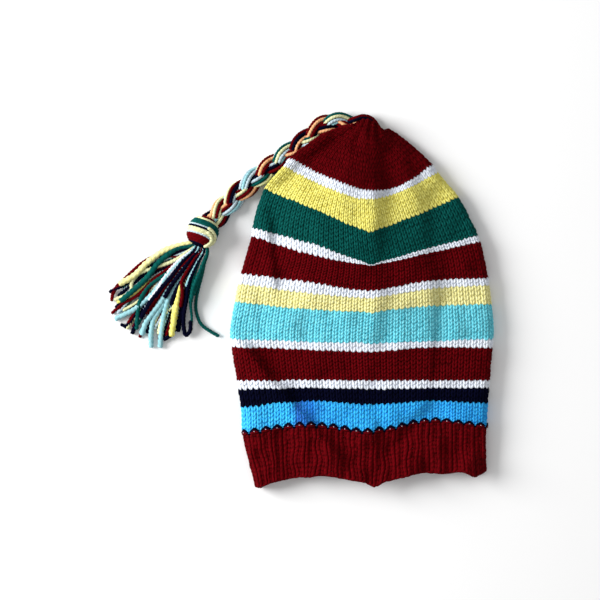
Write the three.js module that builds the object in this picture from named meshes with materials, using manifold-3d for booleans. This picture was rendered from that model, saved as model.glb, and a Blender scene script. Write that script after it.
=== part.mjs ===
// A hand-knitted striped beanie lying on its back: a ribbed brim, a striped body and a gathered crown,
// and a plait that leaves the peak, runs along the crown's edge and ends in a knot and a tassel.
// Millimetres, +Z up. The floor is z = 0, the peak points to +Y and the head goes in from -Y.
import * as THREE from "three";
import { mergeVertices } from "three/addons/utils/BufferGeometryUtils.js";
import Module from "manifold-3d";

const wasm = await Module();
wasm.setup();

// Driving dimensions. A round is one row of knitting, counted from the hem.
const RIB_END = 12;
const CROWN_START = 75;
const CLOSED = 92;
const LINING_CLOSED = 87.5;
const RIBS = 45;
const GATHERS = 12;
const WALL = 3.5;
const RIB_WALL = 4.4;
const RIB_DEPTH = 1.1;
const GATHER_DEPTH = 1.4;
const JOIN_ROUNDS = 0.04;
const PLAIT_WIDTH = 17.6;
const PLAIT_HEIGHT = 11;
const HELD_UP = PLAIT_HEIGHT + 0.6;
const OVER_PLAIT = 5;
const BESIDE_PLAIT = 19;
const PRESSED_BY_PLAIT = 0.3;
const KNOT_LENGTH = 29;
const KNOT_WIDTH = 26;
const KNOT_HEIGHT = 22;
const KNOT_WRAPS = 4;
const WRAP_RELIEF = 0.05;
const BUNCH_RADIUS = 9;
const BUNCH_FLATNESS = 0.8;
const LOCK_WIDTH_AT_KNOT = 9;
const LOCK_HEIGHT_AT_KNOT = 13;
const LOCK_HEIGHT_AT_END = 4.5;
const CLEARANCE = 0.35;
const OFF_FLOOR = 0.1;

// A table's rows as objects with named fields.
const table = (columns, ...rows) =>
  rows.map((row) => Object.fromEntries(columns.map((name, i) => [name, row[i]])));

// The rounds where the yarn or the shaping changes, seen from above: both ends, the height across the front
// at the ends, at the crease and half-way between, a nick at the crease, and the height amid the back.
const ROUNDS = table(
  ["round", "leftX", "creaseX", "rightX",
    "leftY", "midLeftY", "creaseY", "midRightY", "rightY", "nick", "backY"],
  [0, -93.6, 11.4, 109.3, -162.3, -151.4, -157.0, -149.0, -151.4, 3.6, -146.0],
  [12, -105.6, 9.7, 110.3, -112.3, -108.8, -114.0, -104.4, -109.6, 0.0, -107.0],
  [18, -106.9, 8.8, 111.2, -92.5, -86.8, -89.8, -86.8, -89.0, 0.0, -87.0],
  [21, -108.7, 8.8, 111.3, -77.1, -75.3, -76.2, -75.3, -75.3, 0.0, -75.0],
  [23, -109.7, 8.8, 111.8, -69.2, -68.3, -68.7, -68.7, -68.7, 0.0, -68.0],
  [31, -114.4, 8.8, 114.0, -39.2, -41.4, -43.2, -39.7, -40.1, 0.4, -40.0],
  [33, -115.3, 8.8, 114.8, -31.8, -34.4, -35.7, -34.0, -32.2, 0.9, -33.0],
  [42, -111.3, 7.9, 112.6, 0.4, -5.8, -8.0, -3.2, -1.8, 1.8, -3.0],
  [46, -108.7, 7.0, 110.4, 16.2, 8.3, 4.3, 11.8, 14.9, 1.3, 9.0],
  [48, -106.5, 7.0, 109.1, 25.4, 18.0, 10.5, 18.8, 21.5, 0.0, 15.0],
  [56, -97.7, 7.9, 100.8, 58.4, 41.7, 33.4, 43.0, 54.0, 1.3, 43.0],
  [58, -96.8, 7.9, 99.8, 65.5, 51.4, 35.6, 48.3, 60.2, 2.6, 50.0],
  [66, -86.2, 7.0, 84.6, 99.8, 80.4, 63.7, 76.0, 92.8, 2.6, 76.0],
  [73, -69.5, 7.0, 66.9, 120.0, 100.7, 90.1, 98.5, 114.8, 0.0, 99.0],
  [75, -64.2, 7.9, 62.4, 127.1, 108.6, 98.0, 103.3, 121.4, 0.0, 105.0],
  [79, -51.0, 7.9, 48.4, 137.6, 124.4, 113.9, 119.2, 135.0, 0.0, 117.0],
  [83, -36.1, 7.9, 35.2, 147.8, 137.6, 129.7, 133.2, 146.0, 0.0, 127.5],
  [87, -21.1, 7.0, 24.6, 154.4, 149.5, 146.5, 147.5, 153.0, 0.0, 136.5],
  [90, -10.5, 5.5, 20.0, 157.0, 158.0, 158.4, 156.4, 152.5, 0.0, 141.0],
  [91.3, -6.0, 5.5, 18.5, 156.5, 160.4, 161.3, 158.2, 151.5, 0.0, 142.5],
  [92, 0.9, 8.8, 16.7, 150.8, 153.2, 154.2, 152.4, 148.2, 0.0, 144.0],
);

// How thick the flattened tube lies: its height amid the front and at its folded sides, and how far
// from each side the fold reaches in.
const THICKNESS = table(
  ["round", "middle", "side", "fold"],
  [0, 19.5, 13.2, 6.5],
  [12, 19.5, 13.6, 6.8],
  [23, 20.5, 14.0, 7.0],
  [46, 22.0, 14.0, 7.5],
  [66, 23.0, 13.0, 8.5],
  [75, 22.5, 12.0, 10.0],
  [83, 20.5, 11.0, 11.0],
  [87, 17.0, 10.0, 9.5],
  [90, 12.0, 8.0, 7.0],
  [91.3, 7.0, 5.0, 6.0],
  [92, 2.0, 1.6, 4.0],
);

// Pleats and dents of the front: a line from one end to the other, how far each reaches to the left and
// to the right of that line, and how far it lifts the knitting.
const FOLDS = table(
  ["fromX", "fromY", "toX", "toY", "left", "right", "lift"],
  [7.6, 112, 8.8, -45, 24, 6, 3.4],
  [17, 112, 19, -34, 6, 15, -1.8],
  [15, 136, 29, 84, 9, 9, -2.4],
  [65.5, 88, 67.5, -50, 8, 3.5, -1.7],
  [72.5, 88, 73.5, -50, 4, 12, 1.6],
  [-97, -36, -42, -112, 9, 7, -2.4],
  [-96, -70, -62, -112, 9, 9, 1.4],
  [15.8, -110, 24.6, -156, 7, 6, -2.0],
  [-33, -116, -33, -142, 7, 7, -1.5],
  [40, -116, 37, -146, 9, 9, 1.2],
  [-99, 6, -88, -26, 6, 6, -1.2],
  [-20, 122, -6, 102, 10, 10, -1.3],
  [-56, -27, -34, -42, 5, 5, -1.0],
);
const FOLD_END = 14;

// The plait's centre line, seen from above, from under the peak to the knot.
const PLAIT_ROUTE = table(
  ["x", "y"],
  [10.6, 145.5],
  [9.2, 150.4],
  [5.7, 154.4],
  [1.0, 157.0],
  [-5.0, 158.2],
  [-15.8, 158.2],
  [-27.3, 155.8],
  [-38.7, 149.6],
  [-50.2, 140.7],
  [-63.0, 130.6],
  [-77.4, 120.2],
  [-92.0, 109.8],
  [-105.0, 99.2],
  [-117.9, 86.6],
  [-127.5, 76.2],
  [-134.0, 69.5],
);

// The knot's middle, and the way its tassel leaves it.
const KNOT = { x: -139.4, y: 62.2 };
const TASSEL_HEADING = new THREE.Vector2(-0.36, -0.93).normalize();

// The tassel's locks: where each ends, how far to the right it leaves the bunch, how far its middle bows to
// the left of the straight line, its width half-way and at its end, and its height.
const LOCKS = table(
  ["x", "y", "start", "bow", "width", "endWidth", "height"],
  [-221.5, 8.0, -7, -13, 12, 9, 7],
  [-220.0, -7.0, -5, -8, 13, 10, 8],
  [-214.5, -16.5, -4, -4, 14, 10, 10],
  [-203.5, -26.0, -2, -2, 14, 10, 11],
  [-194.0, -28.5, -1, 0, 14, 9, 12],
  [-185.5, -39.5, 0, 1, 13, 8, 12],
  [-177.5, -39.5, 1, 1, 13, 8, 12],
  [-170.0, -34.0, 2, 2, 13, 8, 11],
  [-162.0, -20.0, 3, 2, 11, 7, 9],
  [-154.0, -29.0, 4, 0, 9, 6, 6],
);
const STRAY_YARN = {
  points: [[-139, 47], [-138.5, 34], [-141, 16], [-145, -2], [-145.5, -14], [-139.5, -23], [-125, -31]],
  width: 4.5,
};
const STEPS_PER_LOCK = 6;
const LOCK_SIDES = 6;

// A smooth curve through a table's column against its key, its slope at each row taken from the neighbours.
function through(rows, key, name, at) {
  const last = rows.length - 1;
  let i = 0;
  while (i < last - 1 && at > rows[i + 1][key]) i++;
  const secant = (k) => (rows[k + 1][name] - rows[k][name]) / (rows[k + 1][key] - rows[k][key]);
  const slope = (k) => {
    if (k === 0) return secant(0);
    if (k === last) return secant(last - 1);
    const before = rows[k][key] - rows[k - 1][key];
    const after = rows[k + 1][key] - rows[k][key];
    return (secant(k - 1) * after + secant(k) * before) / (before + after);
  };
  const span = rows[i + 1][key] - rows[i][key];
  const t = THREE.MathUtils.clamp((at - rows[i][key]) / span, 0, 1);
  const t2 = t * t;
  const t3 = t2 * t;
  return (
    rows[i][name] * (2 * t3 - 3 * t2 + 1) +
    slope(i) * span * (t3 - 2 * t2 + t) +
    rows[i + 1][name] * (3 * t2 - 2 * t3) +
    slope(i + 1) * span * (t3 - t2)
  );
}

const shapeOf = (rows, round) =>
  Object.fromEntries(Object.keys(rows[0]).map((name) => [name, through(rows, "round", name, round)]));

// The height in plan of one round across the front, at a given x.
function frontY(ring, x) {
  const knots = [
    { x: ring.leftX, y: ring.leftY },
    { x: (ring.leftX + ring.creaseX) / 2, y: ring.midLeftY },
    { x: ring.creaseX, y: ring.creaseY },
    { x: (ring.creaseX + ring.rightX) / 2, y: ring.midRightY },
    { x: ring.rightX, y: ring.rightY },
  ];
  const nickReach = 6;
  const nick = ring.nick * Math.exp(-(((x - ring.creaseX) / nickReach) ** 2));
  return through(knots, "x", "y", x) - nick;
}

// The same across the back, which lies smooth on the floor.
function backY(ring, x) {
  const s = (2 * x - ring.leftX - ring.rightX) / (ring.rightX - ring.leftX);
  const chord = THREE.MathUtils.lerp(ring.leftY, ring.rightY, (s + 1) / 2);
  return chord + (ring.backY - (ring.leftY + ring.rightY) / 2) * (1 - s * s);
}

// How far the pleats and dents lift the front at a point of the plan.
function foldLift(x, y) {
  let lift = 0;
  for (const fold of FOLDS) {
    const along = new THREE.Vector2(fold.toX - fold.fromX, fold.toY - fold.fromY);
    const length = along.length();
    along.normalize();
    const [dx, dy] = [x - fold.fromX, y - fold.fromY];
    const t = dx * along.x + dy * along.y;
    const aside = dx * along.y - dy * along.x;
    const past = Math.max(-t, t - length, 0);
    const toTheRight = aside * -Math.sign(along.y || 1) > 0;
    const reach = toTheRight ? fold.right : fold.left;
    lift += fold.lift * Math.exp(-((aside / reach) ** 2) - (past / FOLD_END) ** 2);
  }
  return lift;
}

// How far the knitting is held off the floor where it lies over the plait.
function plaitLift(x, y) {
  let nearest = Infinity;
  for (let i = 1; i < PLAIT_ROUTE.length; i++) {
    const [a, b] = [PLAIT_ROUTE[i - 1], PLAIT_ROUTE[i]];
    const [ux, uy] = [b.x - a.x, b.y - a.y];
    const t = THREE.MathUtils.clamp(((x - a.x) * ux + (y - a.y) * uy) / (ux * ux + uy * uy), 0, 1);
    nearest = Math.min(nearest, Math.hypot(x - a.x - t * ux, y - a.y - t * uy));
  }
  return HELD_UP * (1 - THREE.MathUtils.smoothstep(nearest, OVER_PLAIT, BESIDE_PLAIT));
}

// Half of a round's cross-section, from one side to the other, as points of x and z with the share of the
// front that each one has. The inset shrinks it towards the inside of the wall.
function halfSection(ring, thick, inset, upper) {
  const half = (ring.rightX - ring.leftX) / 2 - inset;
  const centre = (ring.rightX + ring.leftX) / 2;
  const fold = Math.max(thick.fold - inset, 0.6);
  const rise = Math.max(thick.side / 2 - inset, 0.3);
  const arch = upper ? Math.max(thick.middle - 2 * inset, 2 * rise) - 2 * rise : 0;
  const sign = upper ? 1 : -1;
  const points = [];
  const arcSteps = 8;
  const flatSteps = 24;
  for (let k = 0; k <= arcSteps; k++) {
    const turn = (k / arcSteps) * (Math.PI / 2);
    points.push([-half + fold * (1 - Math.cos(turn)), sign * rise * Math.sin(turn), Math.sin(turn)]);
  }
  for (let k = 1; k < flatSteps; k++) {
    const s = (2 * k) / flatSteps - 1;
    points.push([s * (half - fold), sign * (rise + arch * (1 - s * s)), 1]);
  }
  const mirrored = points.slice(0, arcSteps + 1).map(([x, z, share]) => [-x, z, share]);
  points.push(...mirrored.reverse());
  return points.map(([x, z, share]) => ({ x: centre + x, z: thick.side / 2 + z, share }));
}

// A point of the knitting: a share of the way round from the left side over the front, at a round, on the
// outer skin or inset from it.
function skinPoint(ring, thick, share, inset) {
  const upper = share <= 0.5;
  const half = halfSection(ring, thick, inset, upper);
  const lengths = [0];
  for (let i = 1; i < half.length; i++) {
    const step = Math.hypot(half[i].x - half[i - 1].x, half[i].z - half[i - 1].z);
    lengths.push(lengths[i - 1] + step);
  }
  const wanted = (upper ? share : 1 - share) * 2 * lengths.at(-1);
  let i = 1;
  while (i < half.length - 1 && lengths[i] < wanted) i++;
  const t = (wanted - lengths[i - 1]) / (lengths[i] - lengths[i - 1]);
  const x = THREE.MathUtils.lerp(half[i - 1].x, half[i].x, t);
  const z = THREE.MathUtils.lerp(half[i - 1].z, half[i].z, t);
  const front = THREE.MathUtils.lerp(half[i - 1].share, half[i].share, t);
  const y = upper ? frontY(ring, x) : backY(ring, x);
  const held = plaitLift(x, y);
  const pressed = 1 - PRESSED_BY_PLAIT * (held / HELD_UP);
  return new THREE.Vector3(x, y, held + pressed * (z + (upper ? front * foldLift(x, y) : 0)));
}

// One whole round of points. The depth is measured inwards from the outer skin and may change around it.
function knitRing(round, count, wall, depthAt) {
  const ring = shapeOf(ROUNDS, round);
  const thick = shapeOf(THICKNESS, round);
  return Array.from({ length: count }, (_, k) => {
    const share = k / count;
    const outer = skinPoint(ring, thick, share, 0);
    const inner = skinPoint(ring, thick, share, wall);
    return outer.lerp(inner, depthAt(share, round) / wall);
  });
}

// A closed body through rings of equal count: either back to its first ring, or with a cap on each end.
function bodyThrough(rings, closesOnItself) {
  const count = rings[0].length;
  const positions = rings.flat().flatMap((p) => [p.x, p.y, p.z]);
  const faces = [];
  const strips = closesOnItself ? rings.length : rings.length - 1;
  for (let r = 0; r < strips; r++) {
    const [low, high] = [r * count, ((r + 1) % rings.length) * count];
    for (let k = 0; k < count; k++) {
      const next = (k + 1) % count;
      faces.push(low + k, low + next, high + k, low + next, high + next, high + k);
    }
  }
  if (!closesOnItself) {
    for (const [ring, flip] of [[0, false], [rings.length - 1, true]]) {
      const middle = positions.length / 3;
      const centre = rings[ring].reduce((sum, p) => sum.add(p), new THREE.Vector3()).divideScalar(count);
      positions.push(centre.x, centre.y, centre.z);
      for (let k = 0; k < count; k++) {
        const [a, b] = [ring * count + k, ring * count + ((k + 1) % count)];
        faces.push(middle, flip ? a : b, flip ? b : a);
      }
    }
  }
  const geometry = new THREE.BufferGeometry();
  geometry.setAttribute("position", new THREE.Float32BufferAttribute(positions, 3));
  geometry.setIndex(faces);
  return geometry;
}

const spaced = (from, to, steps) =>
  Array.from({ length: steps + 1 }, (_, k) => from + ((to - from) * k) / steps);

// A tube of knitting that is open at both ends: up the outer skin and back down the inner one.
function knitTube({ from, to, outerSteps, innerSteps, count, wall, outerDepth }) {
  const outer = spaced(from, to, outerSteps).map((round) => knitRing(round, count, wall, outerDepth));
  const inner = spaced(to, from, innerSteps).map((round) => knitRing(round, count, wall, () => wall));
  return bodyThrough([...outer, ...inner], true);
}

// The brim: columns of knit and purl in turn, drawn in a little at the hem's edge.
function brimGeometry() {
  const ribDepth = (share, round) => {
    const rolled = 1 - THREE.MathUtils.smoothstep(round, 0, 1.5);
    return (RIB_DEPTH / 2) * (1 - Math.cos(2 * Math.PI * RIBS * share)) + rolled;
  };
  return knitTube({
    from: 0,
    to: RIB_END - JOIN_ROUNDS,
    outerSteps: 6,
    innerSteps: 2,
    count: 2 * RIBS,
    wall: RIB_WALL,
    outerDepth: ribDepth,
  });
}

function bodyGeometry() {
  return knitTube({
    from: RIB_END + JOIN_ROUNDS,
    to: CROWN_START - JOIN_ROUNDS,
    outerSteps: 19,
    innerSteps: 7,
    count: 2 * RIBS,
    wall: WALL,
    outerDepth: () => 0,
  });
}

// The crown: its lining closes short of the peak, and its outer skin puckers towards the gathered end.
function crownGeometry() {
  const count = 60;
  const start = CROWN_START + JOIN_ROUNDS;
  const pucker = (share, round) => {
    const amount = THREE.MathUtils.smoothstep(round, CROWN_START + 5, CLOSED - 3);
    return (GATHER_DEPTH / 2) * amount * (1 - Math.cos(2 * Math.PI * GATHERS * share));
  };
  const lining = spaced(LINING_CLOSED, start, 4).map((round) => knitRing(round, count, WALL, () => WALL));
  const outerRounds = [...spaced(start, 87, 6), 88.5, 90, 90.8, 91.4, 91.75, CLOSED];
  const outer = outerRounds.map((round) => knitRing(round, count, WALL, pucker));
  return bodyThrough([...lining, ...outer], false);
}

function plaitCurve() {
  const z = PLAIT_HEIGHT / 2 + OFF_FLOOR;
  return new THREE.CatmullRomCurve3(PLAIT_ROUTE.map(({ x, y }) => new THREE.Vector3(x, y, z)));
}

function plaitGeometry() {
  const section = new THREE.Shape();
  section.absellipse(0, 0, PLAIT_HEIGHT / 2, PLAIT_WIDTH / 2, 0, 2 * Math.PI);
  const sides = 10;
  return new THREE.ExtrudeGeometry(section, {
    steps: 26,
    curveSegments: sides / 2,
    extrudePath: plaitCurve(),
  });
}

// The knot: wraps of yarn round the plait's end, turned about the tassel's heading and pressed flatter.
function knotGeometry(grown) {
  const steps = 14;
  const profile = spaced(0, 1, steps).map((t) => {
    const angle = Math.PI * t;
    const wrap = 1 + WRAP_RELIEF * Math.cos(2 * Math.PI * KNOT_WRAPS * (t - 0.5));
    const radius = t === 0 || t === 1 ? 0 : (KNOT_WIDTH / 2) * Math.sin(angle) ** 0.7 * wrap + grown;
    return new THREE.Vector2(radius, -Math.cos(angle) * (KNOT_LENGTH / 2 + grown));
  });
  const geometry = new THREE.LatheGeometry(profile, 16);
  geometry.rotateZ(Math.atan2(TASSEL_HEADING.y, TASSEL_HEADING.x) + Math.PI / 2);
  geometry.scale(1, 1, KNOT_HEIGHT / (KNOT_WIDTH * (1 + WRAP_RELIEF)));
  geometry.translate(KNOT.x, KNOT.y, KNOT_HEIGHT / 2 + OFF_FLOOR);
  return geometry;
}

// A flattened lock of yarn along a curve on the floor, narrowing to its end.
function lockGeometry(points, widthAt, heightAt) {
  const curve = new THREE.CatmullRomCurve3(points.map(([x, y]) => new THREE.Vector3(x, y, 0)));
  const rings = spaced(0, 1, STEPS_PER_LOCK).map((t) => {
    const at = curve.getPointAt(t);
    const heading = curve.getTangentAt(t);
    const across = new THREE.Vector3(-heading.y, heading.x, 0);
    return Array.from({ length: LOCK_SIDES }, (_, k) => {
      const turn = (2 * Math.PI * (k + 0.5)) / LOCK_SIDES;
      const rise = (heightAt(t) / 2) * (1 + Math.sin(turn));
      return at
        .clone()
        .addScaledVector(across, (widthAt(t) / 2) * Math.cos(turn))
        .setZ(rise + OFF_FLOOR);
    });
  });
  return bodyThrough(rings, false);
}

function solid(geometry) {
  const bare = geometry.clone();
  for (const name of Object.keys(bare.attributes)) if (name !== "position") bare.deleteAttribute(name);
  const merged = mergeVertices(bare, 1e-4);
  return new wasm.Manifold(
    new wasm.Mesh({
      numProp: 3,
      vertProperties: merged.attributes.position.array,
      triVerts: new Uint32Array(merged.index.array),
    }),
  );
}

function geometryOf(made) {
  const mesh = made.getMesh();
  const geometry = new THREE.BufferGeometry();
  geometry.setAttribute("position", new THREE.BufferAttribute(mesh.vertProperties, 3));
  geometry.setIndex(new THREE.BufferAttribute(mesh.triVerts, 1));
  return geometry;
}

// The tassel: locks that fan out over the floor, fused to the bunch that comes out of the knot.
function tasselGeometry() {
  const intoKnot = 2.5;
  const root = new THREE.Vector2(KNOT.x, KNOT.y).addScaledVector(TASSEL_HEADING, KNOT_LENGTH / 2 - intoKnot);
  const bunch = new THREE.SphereGeometry(BUNCH_RADIUS, 12, 8);
  bunch.scale(1, 1, BUNCH_FLATNESS);
  bunch.translate(root.x, root.y, BUNCH_RADIUS * BUNCH_FLATNESS + OFF_FLOOR);
  let fused = solid(bunch);
  const toTheRight = new THREE.Vector2(-TASSEL_HEADING.y, TASSEL_HEADING.x);
  const { lerp, mapLinear } = THREE.MathUtils;
  const tallUpTo = 0.4;
  const straightAhead = 6;
  for (const lock of LOCKS) {
    const end = new THREE.Vector2(lock.x, lock.y);
    const leaves = root.clone().addScaledVector(TASSEL_HEADING, straightAhead);
    leaves.addScaledVector(toTheRight, lock.start);
    const middle = leaves.clone().lerp(end, 0.5);
    const aside = end.clone().sub(root).normalize();
    middle.add(new THREE.Vector2(-aside.y, aside.x).multiplyScalar(lock.bow));
    const points = [root, leaves, middle, end].map((p) => [p.x, p.y]);
    const widthAt = (t) =>
      t < 0.5
        ? lerp(LOCK_WIDTH_AT_KNOT, lock.width, 2 * t)
        : lerp(lock.width, lock.endWidth, 2 * t - 1);
    const heightAt = (t) =>
      t < tallUpTo
        ? lerp(LOCK_HEIGHT_AT_KNOT, lock.height, t / tallUpTo)
        : mapLinear(t, tallUpTo, 1, lock.height, LOCK_HEIGHT_AT_END);
    fused = fused.add(solid(lockGeometry(points, widthAt, heightAt)));
  }
  const stray = lockGeometry(STRAY_YARN.points, () => STRAY_YARN.width, () => STRAY_YARN.width);
  return geometryOf(fused.add(solid(stray)).subtract(solid(knotGeometry(CLEARANCE))));
}

const COLOURS = { maroon: 0x6e0814, turquoise: 0x5bcbd6, mixed: 0x8f9a6a, green: 0x006650 };

function piece(name, geometry, colour) {
  const mesh = new THREE.Mesh(
    geometry,
    new THREE.MeshStandardMaterial({ color: colour, roughness: 0.95, metalness: 0 }),
  );
  mesh.name = name;
  return mesh;
}

const hat = new THREE.Group();
hat.add(piece("ribbed_brim", brimGeometry(), COLOURS.maroon));
hat.add(piece("striped_body", bodyGeometry(), COLOURS.turquoise));
hat.add(piece("gathered_crown", crownGeometry(), COLOURS.maroon));

const cord = new THREE.Group();
const plait = solid(plaitGeometry()).subtract(solid(knotGeometry(CLEARANCE)));
cord.add(piece("plait", geometryOf(plait), COLOURS.mixed));
cord.add(piece("plait_knot", knotGeometry(0), COLOURS.green));
cord.add(piece("tassel", tasselGeometry(), COLOURS.mixed));

const beanie = new THREE.Group();
beanie.add(hat, cord);
export default beanie;
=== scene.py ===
# %% [markdown]
# # A hand-knitted striped beanie
# The beanie lies on its back with its front up. A plait leaves the peak, and ends in a knot and a tassel.
# Knitting is many small loops on one soft surface, so the lesson makes each loop once, in a flat and
# straight space, repeats it with arrays, and then lets one function lay the whole field on the hat.
# The plain solids of the frame give the place and the size, and the pieces made here stand for them.

# %% Load the frame
import math

import bmesh
import bpy
import numpy as np
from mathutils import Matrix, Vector


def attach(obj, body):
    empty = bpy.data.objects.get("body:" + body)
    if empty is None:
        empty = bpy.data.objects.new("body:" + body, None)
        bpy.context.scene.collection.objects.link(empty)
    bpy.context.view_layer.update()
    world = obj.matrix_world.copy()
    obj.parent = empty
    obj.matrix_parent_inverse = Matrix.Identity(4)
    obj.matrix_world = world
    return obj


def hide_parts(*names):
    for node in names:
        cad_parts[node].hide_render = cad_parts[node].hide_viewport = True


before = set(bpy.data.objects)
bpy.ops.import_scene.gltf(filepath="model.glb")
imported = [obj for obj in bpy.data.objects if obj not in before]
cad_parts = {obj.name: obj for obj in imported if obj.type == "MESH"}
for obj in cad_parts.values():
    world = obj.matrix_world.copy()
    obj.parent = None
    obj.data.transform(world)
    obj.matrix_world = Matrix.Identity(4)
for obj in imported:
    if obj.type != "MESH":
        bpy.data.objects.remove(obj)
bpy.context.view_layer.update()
MM = 0.001

# %% [markdown]
# ## The camera
# The photograph looks straight down, so an unturned camera hangs over the floor. A long lens keeps the
# hat's thickness from spreading its outline. Its distance follows from the width that the picture shows
# at half the hat's thickness.

# %% Camera
PICTURE_WIDTH = 528 * MM
PICTURE_MIDDLE = (-54.6 * MM, 2.1 * MM)
HALF_THICKNESS = 10 * MM
LENS = 200
SENSOR = 36

camera_data = bpy.data.cameras.new("camera")
camera_data.lens = LENS
camera_data.sensor_width = SENSOR
camera_data.clip_end = 20
camera = bpy.data.objects.new("camera", camera_data)
camera_height = HALF_THICKNESS + PICTURE_WIDTH * LENS / SENSOR
camera.location = (*PICTURE_MIDDLE, camera_height)
bpy.context.scene.collection.objects.link(camera)
bpy.context.scene.camera = camera
print("camera", round(camera_height, 3), "m above the floor")

# %% [markdown]
# ## Small helpers
# Every piece ends the same way: its mesh becomes an object at the origin, takes its materials, rides on
# the body and hides the solids that it stands for. Numpy moves all of a mesh's corners at once.

# %% Helpers for meshes
def mesh_of(bm, name):
    mesh = bpy.data.meshes.new(name)
    bm.to_mesh(mesh)
    bm.free()
    return mesh


def corners(mesh):
    flat = np.empty(len(mesh.vertices) * 3)
    mesh.vertices.foreach_get("co", flat)
    return flat.reshape(-1, 3)


def move_corners(mesh, points):
    mesh.vertices.foreach_set("co", np.asarray(points, np.float32).ravel())
    mesh.update()


def joined(name, meshes):
    bm = bmesh.new()
    for mesh in meshes:
        bm.from_mesh(mesh)
        bpy.data.meshes.remove(mesh)
    return mesh_of(bm, name)


def paint(mesh, colour):
    """Gives all of a mesh's faces the material of one yarn."""
    number = COLOURS.index(colour)
    mesh.polygons.foreach_set("material_index", np.full(len(mesh.polygons), number, np.int32))


def piece_of(name, mesh, replaced, materials):
    """Makes an object of a finished mesh, puts it on the root body and hides the solids that it stands for.
    """
    for material in materials:
        mesh.materials.append(material)
    mesh.shade_smooth()
    piece = bpy.data.objects.new(name, mesh)
    bpy.context.scene.collection.objects.link(piece)
    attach(piece, "root")
    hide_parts(*replaced)
    mesh.calc_loop_triangles()
    print(name, len(mesh.loop_triangles), "triangles")
    return piece


# %% [markdown]
# ## The yarn's finish
# Acrylic yarn is soft and matt, with a faint sheen where fibres stand off it. Three things break up its
# colour: the plies' twist, which runs slantwise along the yarn, is read from each piece's UV map and darkens
# the dents between the plies as painted shade; the fibres are a fine noise in Object coordinates; and slow
# patches of lighter and darker tone come at random.
# The twist and the fibres also lift a small bump. Many nodes are added and linked for that, so a small
# class does both in few words, and puts a plain number on a socket where nothing is linked to it.

# %% Nodes in few words
class Nodes:
    """A short way to add nodes to a material and link them."""

    def __init__(self, name):
        self.material = bpy.data.materials.new(name)
        self.material.use_nodes = True
        self.tree = self.material.node_tree
        self.shader = self.tree.nodes["Principled BSDF"]
        self.place = self.add("ShaderNodeTexCoord").outputs["Object"]

    def add(self, kind, **settings):
        node = self.tree.nodes.new(kind)
        for key, value in settings.items():
            setattr(node, key, value)
        return node

    def put(self, value, socket):
        """Links another node's output to the socket, or sets a plain value on it."""
        if isinstance(value, bpy.types.NodeSocket):
            self.tree.links.new(value, socket)
        else:
            socket.default_value = value

    def noise(self, size, detail=2.0):
        """A noise whose patches are about so many metres wide."""
        node = self.add("ShaderNodeTexNoise")
        self.put(1 / size, node.inputs["Scale"])
        self.put(detail, node.inputs["Detail"])
        self.put(self.place, node.inputs["Vector"])
        return node.outputs["Fac"]

    def ramp(self, value, low, high, to_low=0.0, to_high=1.0):
        """The value moved from one range to another."""
        node = self.add("ShaderNodeMapRange")
        for number, name in ((low, "From Min"), (high, "From Max"), (to_low, "To Min"), (to_high, "To Max")):
            self.put(number, node.inputs[name])
        self.put(value, node.inputs["Value"])
        return node.outputs["Result"]

    def sum(self, *terms):
        total = terms[0]
        for term in terms[1:]:
            node = self.add("ShaderNodeMath", operation="ADD")
            self.put(total, node.inputs[0])
            self.put(term, node.inputs[1])
            total = node.outputs["Value"]
        return total

    def mix(self, share, first, second):
        """A colour between two, by a share from 0 to 1."""
        node = self.add("ShaderNodeMix", data_type="RGBA")
        self.put(share, node.inputs["Factor"])
        for value, socket in ((first, node.inputs["A"]), (second, node.inputs["B"])):
            self.put((*value, 1) if isinstance(value, tuple) else value, socket)
        return node.outputs["Result"]


print("nodes in few words:", [name for name in vars(Nodes) if not name.startswith("_")])

# %% [markdown]
# The blue band has a dark patch near its left end, as where a dye changes. So that yarn's colour may be
# multiplied by a row of tints across the hat. A slow noise keeps their borders from being straight.

# %% Dyes that change along a yarn
HAT_HALF_WIDTH = 115 * MM
DYE_PATCH = 9 * MM
DYE_WANDER = 0.03


def dyed(nodes, colour, dyes):
    """The colour multiplied by tints, each given with its place across the hat, from 0 to 1."""
    wander = nodes.ramp(nodes.noise(DYE_PATCH), 0, 1, -DYE_WANDER, DYE_WANDER)
    along = nodes.add("ShaderNodeSeparateXYZ")
    nodes.put(nodes.place, along.inputs[0])
    across_hat = nodes.ramp(along.outputs["X"], -HAT_HALF_WIDTH, HAT_HALF_WIDTH)
    tints = nodes.add("ShaderNodeValToRGB")
    nodes.put(nodes.sum(across_hat, wander), tints.inputs["Fac"])
    stops = tints.color_ramp.elements
    for k, (place, tint) in enumerate(dyes):
        stop = stops[k] if k < 2 else stops.new(place)
        stop.position = place
        stop.color = (*tint, 1)
    product = nodes.add("ShaderNodeMix", data_type="RGBA", blend_type="MULTIPLY")
    for value, socket in ((1.0, "Factor"), (colour, "A"), (tints.outputs["Color"], "B")):
        nodes.put(value, product.inputs[socket])
    return product.outputs["Result"]


print("tints change within", DYE_PATCH / MM, "mm")

# %% [markdown]
# One function makes each yarn's material from two colours: the one on top and a darker one, which the
# twist paints as shade into the dents between the plies and the noises use for random tone. The sheen takes
# the yarn's own light colour. A Wave texture draws ten radians to a unit, and the UV map is one unit round
# the yarn, so the wave's scale follows from the number of plies.

# %% Yarn material
YARN_FINISH = {"Roughness": 0.95, "Specular IOR Level": 0.04, "Sheen Weight": 0.03, "Sheen Roughness": 0.5}
PLIES = 3
WAVE_RADIANS = 10
TWIST_SHADE_AND_BUMP = 0.4
FIBRE_SIZE = 0.6 * MM
FIBRE_TONE = 0.35
HEATHER_SIZE = 2.6 * MM
HEATHER_TONE = (-0.1, 0.45)
BUMP_STRENGTH = 0.6
BUMP_HEIGHT = 0.4 * MM


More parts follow.
